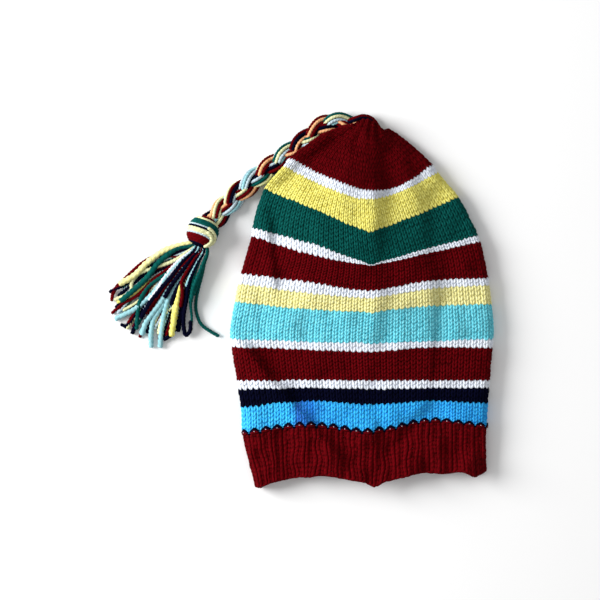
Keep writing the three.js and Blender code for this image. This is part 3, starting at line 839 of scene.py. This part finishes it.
def back_y(ring, x):
    """The underside's Y: a bow beside the straight line from fold to fold."""
    across = (2 * x - ring["leftX"] - ring["rightX"]) / (ring["rightX"] - ring["leftX"])
    straight = ring["leftY"] + (ring["rightY"] - ring["leftY"]) * (across + 1) / 2
    bow = ring["backY"] - (ring["leftY"] + ring["rightY"]) / 2
    return straight + bow * (1 - across * across) - hem_wave(ring, x)


print("lobes of the hem:", len(HEM_LOBES["x"]))

# %% [markdown]
# ## Folds and waves of the front
# Laid down by hand, the hat keeps soft folds. Each row of the next table is one of them: the line that
# it follows, how far it reaches to either side, and how much it lifts or sinks the front.

# %% Folds
FOLD_END = 14
FOLDS = table(
    "fromX fromY toX toY left right lift",
    (9, 120, 9, 0, 62, 52, 4.0),
    (9, 112, 9, 62, 26, 8, 3.2),
    (9, 48, 9, -30, 26, 9, 2.3),
    (20, 104, 20, 40, 6, 18, -1.8),
    (18, 122, 26, 92, 8, 10, -3.2),
    (30, 138, 41, 106, 12, 7, 2.8),
    (-14, 133, -15, 115, 14, 7, 2.8),
    (61, 84, 69, 4, 8, 22, -3.4),
    (69, 4, 64, -62, 4, 16, -2.4),
    (-104, -42, -25, -134, 15, 4.5, 3.8),
    (-97, -44, -84, -70, 14, 5, 3.2),
    (-96, -36, -17, -128, 5, 14, -2.2),
    (-92, -116, -88, -158, 8, 9, 2.6),
    (-71, -116, -66, -158, 9, 14, -2.2),
    (-78, 68, -73, 24, 4, 16, -3.4),
    (-84, 62, -80, 26, 12, 5, 1.8),
    (-30, 84, -34, 22, 34, 24, 4.0),
    (-90, -2, -88, -22, 4, 8, -1.8),
    (17, -106, 25, -156, 8, 6, -3.2),
    (57, -98, 28, -128, 6, 14, -3.2),
    (72, -108, 72, -142, 4, 9, -1.8),
    (92, -108, 98, -150, 10, 5, 1.8),
    (-14, 121, 10, 113, 9, 9, -1.6),
)


def fold_lift(x, y):
    """How far all the folds together lift a place of the front."""
    lift = 0
    for k in range(len(FOLDS["lift"])):
        fold = {name: column[k] for name, column in FOLDS.items()}
        way_x, way_y = fold["toX"] - fold["fromX"], fold["toY"] - fold["fromY"]
        length = math.hypot(way_x, way_y)
        way_x, way_y = way_x / length, way_y / length
        off_x, off_y = x - fold["fromX"], y - fold["fromY"]
        along = off_x * way_x + off_y * way_y
        aside = off_x * way_y - off_y * way_x
        past = np.maximum(np.maximum(-along, along - length), 0)
        to_the_right = aside * math.copysign(1, way_y) > 0
        reach = np.where(to_the_right, fold["right"], fold["left"])
        lift = lift + fold["lift"] * np.exp(-((aside / reach) ** 2) - (past / FOLD_END) ** 2)
    return lift


print("folds:", len(FOLDS["lift"]))

# %% [markdown]
# Between the folds the cloth isn't quite even either. Slow waves from a seeded draw cross one another
# there. Near the peak the crown lies on its own plait, which holds it up.

# %% Waves, and the crown on its plait
RIPPLES = 16
RIPPLE_LENGTHS = (16, 44)
RIPPLE_SLOPE = 0.0075
RIPPLE_SEED = 3
RIB_TO_STRIPES = (-120, -100)
HELD_UP = PLAIT_HEIGHT / MM + 0.6
OVER_PLAIT = 5
BESIDE_PLAIT = 19


def ripple_lift(x, y):
    """Slow low waves that cross one another, from a seeded draw. The rib, drawn together, has more."""
    draw = np.random.default_rng(RIPPLE_SEED)
    lift = 0
    shortest, longest = RIPPLE_LENGTHS
    for way, length, start in draw.uniform((0, shortest, 0), (math.pi, longest, math.tau), (RIPPLES, 3)):
        along = x * math.cos(way) + y * math.sin(way)
        lift = lift + RIPPLE_SLOPE * length * np.cos(math.tau * along / length + start)
    return lift * (2 - smoothstep(y, *RIB_TO_STRIPES))


def plait_lift(x, y):
    """How far the plait holds a place of the hat up, by its distance from the plait's route."""
    nearest = np.full(x.shape, np.inf)
    for (from_x, from_y), (to_x, to_y) in zip(PLAIT_ROUTE, PLAIT_ROUTE[1:]):
        way_x, way_y = to_x - from_x, to_y - from_y
        off_x, off_y = x - from_x, y - from_y
        share = np.clip((off_x * way_x + off_y * way_y) / (way_x * way_x + way_y * way_y), 0, 1)
        nearest = np.minimum(nearest, np.hypot(off_x - share * way_x, off_y - share * way_y))
    return HELD_UP * (1 - smoothstep(nearest, OVER_PLAIT, BESIDE_PLAIT))


print("waves:", RIPPLES, "and the plait lifts the crown by", HELD_UP, "mm")

# %% [markdown]
# ## A flattened tube
# Cut across, the hat is a flattened tube: an elliptical fold at each side and a low arch between. The
# brim gets narrower towards the hem, and its two folds take that up, so that the ribs between them
# stay straight.

# %% Section of the tube
ARC_STEPS = 8
FLAT_STEPS = 24
LEAST_FOLD = 0.6
LEAST_RISE = 0.3
STRAIGHT_FROM = 0.25


def half_section(ring, thick, inset, upper):
    """X and Z of the upper or lower half of each round, and how much of the folds' lift reaches there."""
    half = (ring["rightX"] - ring["leftX"]) / 2 - inset
    fold = np.maximum(thick["fold"] - inset, LEAST_FOLD)
    rise = np.maximum(thick["side"] / 2 - inset, LEAST_RISE)
    arch = np.maximum(thick["middle"] - 2 * inset, 2 * rise) - 2 * rise if upper else 0 * rise
    turn = np.linspace(0, math.pi / 2, ARC_STEPS + 1)
    across = 2 * np.arange(1, FLAT_STEPS) / FLAT_STEPS - 1
    arc_x = -half + fold * (1 - np.cos(turn))
    arc_z = rise * np.sin(turn)
    share = np.r_[np.sin(turn), np.ones(len(across)), np.sin(turn)[::-1]]
    x = np.hstack([arc_x, across * (half - fold), -arc_x[:, ::-1]])
    z = np.hstack([arc_z, rise + arch * (1 - across * across), arc_z[:, ::-1]])
    centre = (ring["rightX"] + ring["leftX"]) / 2
    return centre + x, thick["side"] / 2 + (z if upper else -z), np.broadcast_to(share, x.shape)


def straightened(wanted, ring):
    """Where the brim narrows, its fold takes that up and the ribs in the middle stay straight."""
    left, right = (smooth(ROUNDS["round"], ROUNDS[side], [RIB_END])[0, 0] for side in ("leftX", "rightX"))
    kept = (left - ring["leftX"] + wanted * (right - left)) / (ring["rightX"] - ring["leftX"])
    between_folds = smoothstep(wanted, 0, STRAIGHT_FROM) * (1 - smoothstep(wanted, 1 - STRAIGHT_FROM, 1))
    weight = between_folds * (ring["at"] < RIB_END)
    return wanted + weight * (kept - wanted)


print("a section has", 4 * (ARC_STEPS + 1) + 2 * (FLAT_STEPS - 1), "points")

# %% [markdown]
# ## The net of the skin
# The skin is worked out once as a net, with four rows to a round and a point every 0.6 mm or so round the
# hat. Each row is measured out by length, so that stitches keep their width over the folds. The lining
# is a second net, a wall's thickness further in.

# %% Nets of the skin and the lining
ROUND_STEP = 0.25
SHARES = 720
WALL = 3.5
RIB_WALL = 4.4
PRESSED_BY_PLAIT = 0.3


def skin_net(rounds, inset):
    """The points of the skin at each round and share, or of a layer so many millimetres further in."""
    ring = {name: smooth(ROUNDS["round"], column, rounds).T for name, column in ROUNDS.items()}
    ring["at"] = rounds[:, None]
    thick = {name: smooth(THICKNESS["round"], column, rounds).T for name, column in THICKNESS.items()}
    inset = np.broadcast_to(inset, rounds.shape)[:, None]
    net = np.empty((len(rounds), SHARES + 1, 3))
    halfway = SHARES // 2
    for upper, columns in ((True, np.arange(0, halfway + 1)), (False, np.arange(SHARES, halfway, -1))):
        x, z, front = half_section(ring, thick, inset, upper)
        steps = [np.diff(part, axis=1, prepend=part[:, :1]) for part in (x, z)]
        along = np.cumsum(np.hypot(*steps), axis=1)
        wanted = (columns if upper else SHARES - columns) / halfway
        wanted = straightened(wanted, ring) if upper else np.broadcast_to(wanted, (len(rounds), len(wanted)))
        for k in range(len(rounds)):
            at = wanted[k] * along[k, -1]
            net[k, columns, 0] = np.interp(at, along[k], x[k])
            net[k, columns, 2] = np.interp(at, along[k], z[k])
            net[k, columns, 1] = np.interp(at, along[k], front[k])
        x_there = net[:, columns, 0]
        y_there = front_y(ring, x_there) if upper else back_y(ring, x_there)
        lift = fold_lift(x_there, y_there) + ripple_lift(x_there, y_there) if upper else 0
        z_there = net[:, columns, 2] + net[:, columns, 1] * lift
        held = plait_lift(x_there, y_there)
        net[:, columns, 2] = held + (1 - PRESSED_BY_PLAIT * held / HELD_UP) * z_there
        net[:, columns, 1] = y_there
    return net * MM


def outward(net):
    """The direction that points out of the knitting at each point of a net."""
    around = np.gradient(net, axis=1)
    around[:, [0, -1]] = (net[:, [1]] - net[:, [-2]]) / 2
    normal = np.cross(around, np.gradient(net, axis=0))
    return normal / np.maximum(np.linalg.norm(normal, axis=2, keepdims=True), 1e-12)


net_rounds = np.arange(0, CLOSED + ROUND_STEP / 2, ROUND_STEP)
wall_there = RIB_WALL + (WALL - RIB_WALL) * smoothstep(net_rounds, RIB_END - 0.5, RIB_END + 0.5)
SKIN = skin_net(net_rounds, 0.0)
LINING = skin_net(net_rounds, wall_there)
SKIN_OUT = outward(SKIN)
print("skin net", SKIN.shape, "highest", round(SKIN[..., 2].max() / MM, 1), "mm")

# %% [markdown]
# Stitches read their place from the net. A point between four of its points is their weighed mean, and
# its height over the skin goes along the net's own outward direction.

# %% Places on the nets
def read(net, share, rounds):
    """The net's value at any share and round, between its points or a little past the hem."""
    up = np.minimum(rounds / ROUND_STEP, len(net) - 1)
    around = (share % 1) * SHARES
    row, point = np.clip(up, 0, len(net) - 2).astype(int), around.astype(int)
    past_row, past_point = (up - row)[:, None], (around - point)[:, None]
    low = net[row, point] * (1 - past_point) + net[row, point + 1] * past_point
    high = net[row + 1, point] * (1 - past_point) + net[row + 1, point + 1] * past_point
    return low * (1 - past_row) + high * past_row


def on_skin(share, rounds, height):
    """Points that stand so many millimetres off the outer skin."""
    return read(SKIN, share, rounds) + read(SKIN_OUT, share, rounds) * (height * MM)[:, None]


side_ends = on_skin(np.array([0, 0.5]), np.array([40.0, 40.0]), np.zeros(2))
print("round 40 reaches from", *np.round(side_ends[:, 0] / MM, 1), "mm")

# %% [markdown]
# ## The ground behind the stitches
# Between the stitches one sees the backs of the loops, a layer just under the skin, with the yarns
# painted darker behind the stripes and the crown as painted shade. Inside the hat is the purl side, a
# wall's thickness further in. Both are one grid that comes down the lining, turns round the hem and goes
# up the outside. Before it is laid on the hat it lies flat: X is the share of the way round and Y counts
# the steps from the lining's end to the peak. Relief sinks it where the rib's purl columns and the crown's
# puckers are.

# %% Stripes and relief
RIBS = 45
RIB_DEPTH = 0.6
RIB_FADES_BY = RIB_END + 3
GATHERS = 12
GATHER_DEPTH = 1.4
GATHERS_FROM = CROWN_START + 5
GATHERS_FULL = CLOSED - 3
STRIPES = [
    ("blue", 12, 18), ("navy", 18, 21), ("white", 21, 23), ("maroon", 23, 31), ("white", 31, 33),
    ("turquoise", 33, 42), ("pale_yellow", 42, 46), ("white", 46, 48), ("maroon", 48, 56), ("white", 56, 58),
    ("green", 58, 66), ("yellow", 66, 73), ("white", 73, 75),
]


def rib_relief(share, rounds):
    """How far the rib's purl columns sink, in millimetres. It fades out where the stripes begin."""
    fade = 1 - smoothstep(rounds, RIB_END - 0.5, RIB_FADES_BY)
    return -(RIB_DEPTH / 2) * (1 - np.cos(math.tau * RIBS * share)) * fade


def gather_relief(share, rounds):
    """How far the crown puckers in towards its gathered end."""
    amount = smoothstep(rounds, GATHERS_FROM, GATHERS_FULL)
    return -(GATHER_DEPTH / 2) * amount * (1 - np.cos(math.tau * GATHERS * share))


def relief(share, rounds):
    """Both of them, which every stitch and the ground follow."""
    return rib_relief(share, rounds) + gather_relief(share, rounds)


def stripe_at(rounds):
    """The yarn of a round. The rib below the stripes and the crown above them are maroon."""
    for colour, low, high in STRIPES:
        if low <= rounds < high:
            return colour
    return "maroon"


print("stripes:", len(STRIPES), "over", STRIPES[-1][2] - STRIPES[0][1], "rounds")

# %% [markdown]
# The grid's rows are the lining's rounds, a few steps round the hem, and the rounds outside. Each corner
# goes to its place by its row and its share of the way round. Both ends are drawn together to a point.

# %% Rows of the ground
GROUND_ACROSS = 180
GROUND_DEPTH = 1.1
LINING_CLOSED = 87.5
HEM_STEPS = 5
HEM_ROLL = 1.3

lining_rounds = np.r_[np.arange(LINING_CLOSED, 0.5, -1.0), 0.5]
skin_rounds = np.r_[0.5, np.arange(1.0, CLOSED - 0.5, 1.0), CLOSED]
row_rounds = np.r_[lining_rounds, np.zeros(HEM_STEPS), skin_rounds]
FIRST_OUTSIDE = len(lining_rounds) + HEM_STEPS


def hem_point(share, across):
    """A point of the hem's turned edge, from the outside (0) to the lining (1)."""
    start = np.zeros(len(share))
    outer = on_skin(share, start, relief(share, start))
    inner = read(LINING, share, start)
    down = read(SKIN, share, start) - read(SKIN, share, start + 1)
    down /= np.linalg.norm(down, axis=1)[:, None]
    roll = HEM_ROLL * np.sin(math.pi * across) * MM
    return outer + (inner - outer) * across[:, None] + down * roll[:, None]


def ground_places(share, row):
    """Where the grid's corners go, by their share of the way round and their row."""
    places = np.empty((len(share), 3))
    inside, outside = row < len(lining_rounds), row >= FIRST_OUTSIDE
    hem = ~inside & ~outside
    places[inside] = read(LINING, share[inside], row_rounds[row[inside]])
    there = row_rounds[row[outside]]
    places[outside] = on_skin(share[outside], there, relief(share[outside], there) - GROUND_DEPTH)
    across = 1 - (row[hem] - len(lining_rounds) + 1) / (HEM_STEPS + 1)
    places[hem] = hem_point(share[hem], across)
    for end in (0, len(row_rounds) - 1):
        places[row == end] = places[row == end].mean(axis=0)
    return places


print("rows of the ground:", len(row_rounds))

# %% [markdown]
# The flat grid gets its yarns first, by rows, and is then laid on the hat. Its two sides meet at the left
# fold, where doubled corners are merged, so the layer is closed.

# %% Ground
MERGED_WITHIN = 0.02 * MM
HAT_NODES = ["ribbed_brim", "striped_body", "gathered_crown"]


def ground_material(step):
    """The number of the yarn at a step up the grid. The darker copies, painted shade, follow the plain ones.
    """
    rounds = float(np.interp(step, np.arange(len(row_rounds)), row_rounds))
    # Above the rib, the outside ground takes the darker copies as painted shade behind the stitches.
    behind_stitches = step > FIRST_OUTSIDE + RIB_END
    return COLOURS.index(stripe_at(rounds)) + len(COLOURS) * behind_stitches


last_row = len(row_rounds) - 1
grid = bmesh.new()
grid.loops.layers.uv.new("yarn")
bmesh.ops.create_grid(grid, x_segments=GROUND_ACROSS, y_segments=last_row, size=0.5, calc_uvs=True)
for face in grid.faces:
    face.material_index = ground_material((face.calc_center_median().y + 0.5) * last_row)
ground_mesh = mesh_of(grid, "knitted_ground")
flat = corners(ground_mesh) + 0.5
move_corners(ground_mesh, ground_places(flat[:, 0], np.rint(flat[:, 1] * last_row).astype(int)))
ground = bmesh.new()
ground.from_mesh(ground_mesh)
bmesh.ops.remove_doubles(ground, verts=ground.verts, dist=MERGED_WITHIN)
bmesh.ops.recalc_face_normals(ground, faces=ground.faces)
ground.to_mesh(ground_mesh)
ground.free()
piece_of("knitted_ground", ground_mesh, HAT_NODES, [*YARN.values(), *SHADED.values()])

# %% [markdown]
# ## One stitch
# A knit stitch shows as a V. Its two legs come out between the legs of the stitch below and go in behind
# the stitch above, so a leg is a plump grain that is high at its foot and low at its head. It is a small
# sphere, drawn out and leant over in a space where one stitch is one unit wide and one unit high and
# heights are millimetres. Some fifteen thousand grains cover the hat, so each has a few dozen faces.

# %% Stitch
LEG_HALF_HEIGHT = 1.05
LEG_HALF_WIDTH = 0.26
FOOT = (0.09, -0.62, -0.72)
HEAD = (0.38, 0.80, -1.35)


def grain(sides, rings, foot, head, half_width, half_height=LEG_HALF_HEIGHT, taper=0.1):
    """One grain of yarn from foot to head, each given as (x, y, height). Its half width is (x, y)."""
    bm = bmesh.new()
    bm.loops.layers.uv.new("yarn")
    bmesh.ops.create_uvsphere(bm, u_segments=sides, v_segments=rings, radius=1, calc_uvs=True)
    foot, head = Vector(foot), Vector(head)
    for vert in bm.verts:
        t = vert.co.z
        aside = vert.co.x * (1 - taper * t)
        out = Vector((half_width[0] * aside, half_width[1] * aside, half_height * vert.co.y))
        vert.co = foot.lerp(head, (1 + t) / 2) + out
    bmesh.ops.recalc_face_normals(bm, faces=bm.faces)
    return mesh_of(bm, "grain")


def v_stitch(sides, rings, foot=FOOT, head=HEAD, half_width=LEG_HALF_WIDTH):
    """Two legs, each the other's mirror image, from foot to head."""
    sided = [[(side * aside, up, height) for aside, up, height in (foot, head)] for side in (-1, 1)]
    return joined("v_stitch", [grain(sides, rings, *ends, (half_width, 0)) for ends in sided])


def tiled(mesh, across, up, spacing=1):
    """The mesh repeated so many times along X, by the spacing, and along Y, by one unit."""
    maker = bpy.data.objects.new("maker", mesh)
    bpy.context.scene.collection.objects.link(maker)
    for step, count in (((spacing, 0, 0), across), ((0, 1, 0), up)):
        array = maker.modifiers.new("array", "ARRAY")
        array.use_relative_offset = False
        array.use_constant_offset = True
        array.constant_offset_displace = step
        array.count = count
    graph = bpy.context.evaluated_depsgraph_get()
    made = bpy.data.meshes.new_from_object(maker.evaluated_get(graph))
    bpy.data.objects.remove(maker)
    return made


FRONT_STITCH = v_stitch(sides=6, rings=5)
BACK_STITCH = v_stitch(sides=5, rings=4)
print("corners of a stitch:", len(FRONT_STITCH.vertices), "in front,", len(BACK_STITCH.vertices), "behind")

# %% [markdown]
# ## Stitches round the hat
# Real knitting is never quite even. Small seeded shifts of each stitch keep the rows from looking like a
# machine's, and the rib's ridges wander aside in slow waves.

# %% Uneven stitches
STITCHES = 90
UNEVEN_ROUND = 0.06
UNEVEN_HEIGHT = 0.14
WOBBLE_SEED = 11
WOBBLE = np.random.default_rng(WOBBLE_SEED).normal(0, 1, (2, CLOSED + 2, 2 * STITCHES))
WANDER = 0.06
WANDER_WAVES = 6
WANDER_CYCLES = (4, 17)
WANDER_LEAN = 1.0
WANDER_SEED = 5
WANDERS_TO = RIB_END - 4


def rib_wander(share, rounds):
    """How far the rib's ridges wander aside, in stitches. A whole number of waves runs round the hat."""
    draw = np.random.default_rng(WANDER_SEED)
    fewest, most = WANDER_CYCLES
    lows, highs = (fewest, -WANDER_LEAN, 0), (most, WANDER_LEAN, math.tau)
    aside = 0
    for cycles, lean, start in draw.uniform(lows, highs, (WANDER_WAVES, 3)):
        aside = aside + WANDER * np.cos(math.tau * int(cycles) * share + lean * rounds + start)
    return aside * (1 - smoothstep(rounds, WANDERS_TO, RIB_END - 0.5))


print("stitches shift by up to", round(UNEVEN_ROUND * float(np.abs(WOBBLE[0]).max()), 2), "of a round")

# %% [markdown]
# A band of stitches is two arrays: one that reaches over the front and both folds, and a plainer one for
# the underside. Each corner's X is a count of stitches, which gives the share of the way round, and its
# Y is a count of rounds. Underneath, the hat's own weight presses the stitches flat on the floor.

# %% Bands of stitches
PRESSED_AT = -0.35 * MM


def laid(stitch, first, rounds, start, count, stitches, spacing=1, raised=0.0):
    """Stitches from one round and column on, repeated in arrays and laid on the skin."""
    mesh = tiled(stitch, count, rounds, spacing)
    field = corners(mesh)
    number = np.arange(len(field)) // len(stitch.vertices)
    column = (start + spacing * (number % count)) % stitches
    up = round(first) + number // count
    y = np.minimum(first + 0.5 + field[:, 1] + UNEVEN_ROUND * WOBBLE[0, up, column], CLOSED)
    share = (field[:, 0] + start) / stitches
    height = field[:, 2] + UNEVEN_HEIGHT * WOBBLE[1, up, column] + relief(share, y) + raised
    placed = on_skin(share + rib_wander(share, y) / stitches, y, height)
    placed[:, 2] = np.maximum(placed[:, 2], PRESSED_AT)
    move_corners(mesh, placed)
    return mesh


def knit_band(first, rounds, stitches=STITCHES):
    """Whole rounds: fuller stitches over the front and both folds, plainer ones on the underside."""
    front = stitches // 2 + 1
    return [
        laid(FRONT_STITCH, first, rounds, 0, front, stitches),
        laid(BACK_STITCH, first, rounds, front, stitches - front, stitches),
    ]


for number, (colour, low, high) in enumerate(STRIPES):
    name = f"stripe_{number + 1:02d}_{colour}"
    band = joined(name, knit_band(low, high - low))
    piece_of(name, band, ["striped_body"], [YARN[colour]])

# %% [markdown]
# ## The crown
# Towards the peak stitches are knitted together, one in each of nine wedges at a time, so each round has
# a multiple of nine. The last rounds are drawn together into puckers, which the relief gives.

# %% Crown
WEDGES = 9
STITCHES_IN_WEDGE = [10, 10, 9, 9, 8, 8, 7, 7, 6, 6, 5, 5, 4, 4, 3, 3, 2]


def crown_rounds():
    for step, in_wedge in enumerate(STITCHES_IN_WEDGE):
        yield from knit_band(CROWN_START + step, 1, WEDGES * in_wedge)


crown = joined("crown_stitches", crown_rounds())
piece_of("crown_stitches", crown, ["gathered_crown"], [YARN["maroon"]])

# %% [markdown]
# ## The ribbed brim
# One knit column and one purl column take turns. The knit columns' stitches are so long that they run
# together as upright ridges, and the purl columns sink between them as a ladder of flat bars. The hem is
# a row of cast-on loops. Where the blue yarn starts, each purl column ends in a scallop of three bars,
# with a dark line over it that also peeks below the blue stitches' tips, and one pale speck.

# %% Brim
def bar(half_length, height, half_width, half_height, lean=0.0):
    """A short bar of yarn that lies across its column."""
    ends = (-half_length, lean, height), (half_length, -lean, height)
    return grain(5, 4, *ends, (0, half_width), half_height, 0)


RIB_STITCH = v_stitch(sides=6, rings=5, foot=(0.34, -0.85, -0.80), head=(0.50, 1.00, -1.05), half_width=0.42)
PURL_BAR = bar(0.42, height=-1.05, half_width=0.75, half_height=0.9)
HEM_BAR = bar(0.62, height=-1.1, half_width=0.34, half_height=1.2, lean=0.1)
SPECK = bar(0.10, height=0.25, half_width=0.09, half_height=0.35)
OVER_BLUE = 1.0
EDGE_BARS = table("up half dark_half", (-0.50, 0.78, 1.0), (-0.24, 0.46, 0.72), (0.0, 0.20, 0.42))
EDGE_HEIGHT = -0.6
DARK_ABOVE = 0.30
DARK_HEIGHT = -0.75
DARK_TIPS_BELOW = 0.42
DARK_TIPS_RAISED = 0.05
SPECKS_BELOW = 0.22
HEM_BELOW = -0.55


def on_purl(stitch, first):
    """One row of a stitch over the purl columns only, raised over the blue yarn."""
    return laid(stitch, first, 1, 1, RIBS, STITCHES, spacing=2, raised=OVER_BLUE)


def scallops(halves, first, height):
    """The three bars of each scallop, the widest lowest."""
    bars = [bar(half, height, half_width=0.40, half_height=0.9) for half in halves]
    return [on_purl(stitch, first + up) for stitch, up in zip(bars, EDGE_BARS["up"])]


knit_columns = laid(RIB_STITCH, 0, RIB_END, 0, RIBS, STITCHES, spacing=2)
purl_columns = laid(PURL_BAR, 0, RIB_END, 1, RIBS, STITCHES, spacing=2)
hem_bars = laid(HEM_BAR, HEM_BELOW, 1, 0, STITCHES, STITCHES)
edge = scallops(EDGE_BARS["half"], RIB_END, EDGE_HEIGHT)
rib = joined("rib_stitches", [knit_columns, purl_columns, hem_bars, *edge])
piece_of("rib_stitches", rib, ["ribbed_brim"], [YARN["maroon"]])

# Navy stitches tucked just under the blue stitches' tips, so that only their rims show.
tips_at = RIB_END - DARK_TIPS_BELOW
dark_tips = laid(FRONT_STITCH, tips_at, 1, 0, RIBS, STITCHES, spacing=2, raised=DARK_TIPS_RAISED)
dark = scallops(EDGE_BARS["dark_half"], RIB_END + DARK_ABOVE, DARK_HEIGHT)
outline = joined("dark_edge_of_rib", [dark_tips, *dark])
piece_of("dark_edge_of_rib", outline, ["ribbed_brim"], [YARN["navy"]])
specks = on_purl(SPECK, RIB_END - SPECKS_BELOW)
piece_of("pale_specks_of_rib", specks, ["ribbed_brim"], [YARN["white"]])

# %% [markdown]
# ## Floor
# The floor is plain and pale, and lies a little lower than the pressed stitches, so nothing pierces it.

# %% Floor
FLOOR_DROP = 0.4 * MM
FLOOR_HALF_SIZE = 3
FLOOR_TONE = (0.93, 0.93, 0.93, 1)
floor_mesh = bmesh.new()
bmesh.ops.create_grid(floor_mesh, x_segments=1, y_segments=1, size=FLOOR_HALF_SIZE)
bmesh.ops.translate(floor_mesh, verts=floor_mesh.verts, vec=(0, 0, -FLOOR_DROP))
floor = bpy.data.objects.new("floor", mesh_of(floor_mesh, "floor"))
bpy.context.scene.collection.objects.link(floor)
floor_finish = bpy.data.materials.new("floor_finish")
floor_finish.use_nodes = True
floor_shader = floor_finish.node_tree.nodes["Principled BSDF"]
floor_shader.inputs["Base Color"].default_value = FLOOR_TONE
floor_shader.inputs["Roughness"].default_value = 0.9
floor.data.materials.append(floor_finish)
print("the floor lies", FLOOR_DROP / MM, "mm below the frame's zero")

# %% [markdown]
# ## Light
# An even sky gives most of the light. One large soft lamp, rather low at the left, adds the photograph's
# soft shadows in the folds.

# %% Light
SKY_STRENGTH = 0.53
LIGHT_PLACE = Vector((-1.8, 0.4, 0.95))
LIGHT_SIZE = 1.3
LIGHT_WATTS = 66
world = bpy.data.worlds.new("studio")
world.use_nodes = True
sky = world.node_tree.nodes["Background"]
sky.inputs["Color"].default_value = (1, 1, 1, 1)
sky.inputs["Strength"].default_value = SKY_STRENGTH
bpy.context.scene.world = world
bpy.context.scene.view_settings.view_transform = "Standard"

light_data = bpy.data.lights.new("key_light", "AREA")
light_data.shape = "DISK"
light_data.size = LIGHT_SIZE
light_data.energy = LIGHT_WATTS
light = bpy.data.objects.new("key_light", light_data)
light.location = LIGHT_PLACE
light.rotation_euler = (-LIGHT_PLACE).to_track_quat("-Z", "Y").to_euler()
bpy.context.scene.collection.objects.link(light)
print("key light", round(LIGHT_PLACE.length, 2), "m away")

# %% [markdown]
# ## The end
# Meshes that no object uses are removed.

# %% Finish
for mesh in list(bpy.data.meshes):
    if mesh.users == 0:
        bpy.data.meshes.remove(mesh)
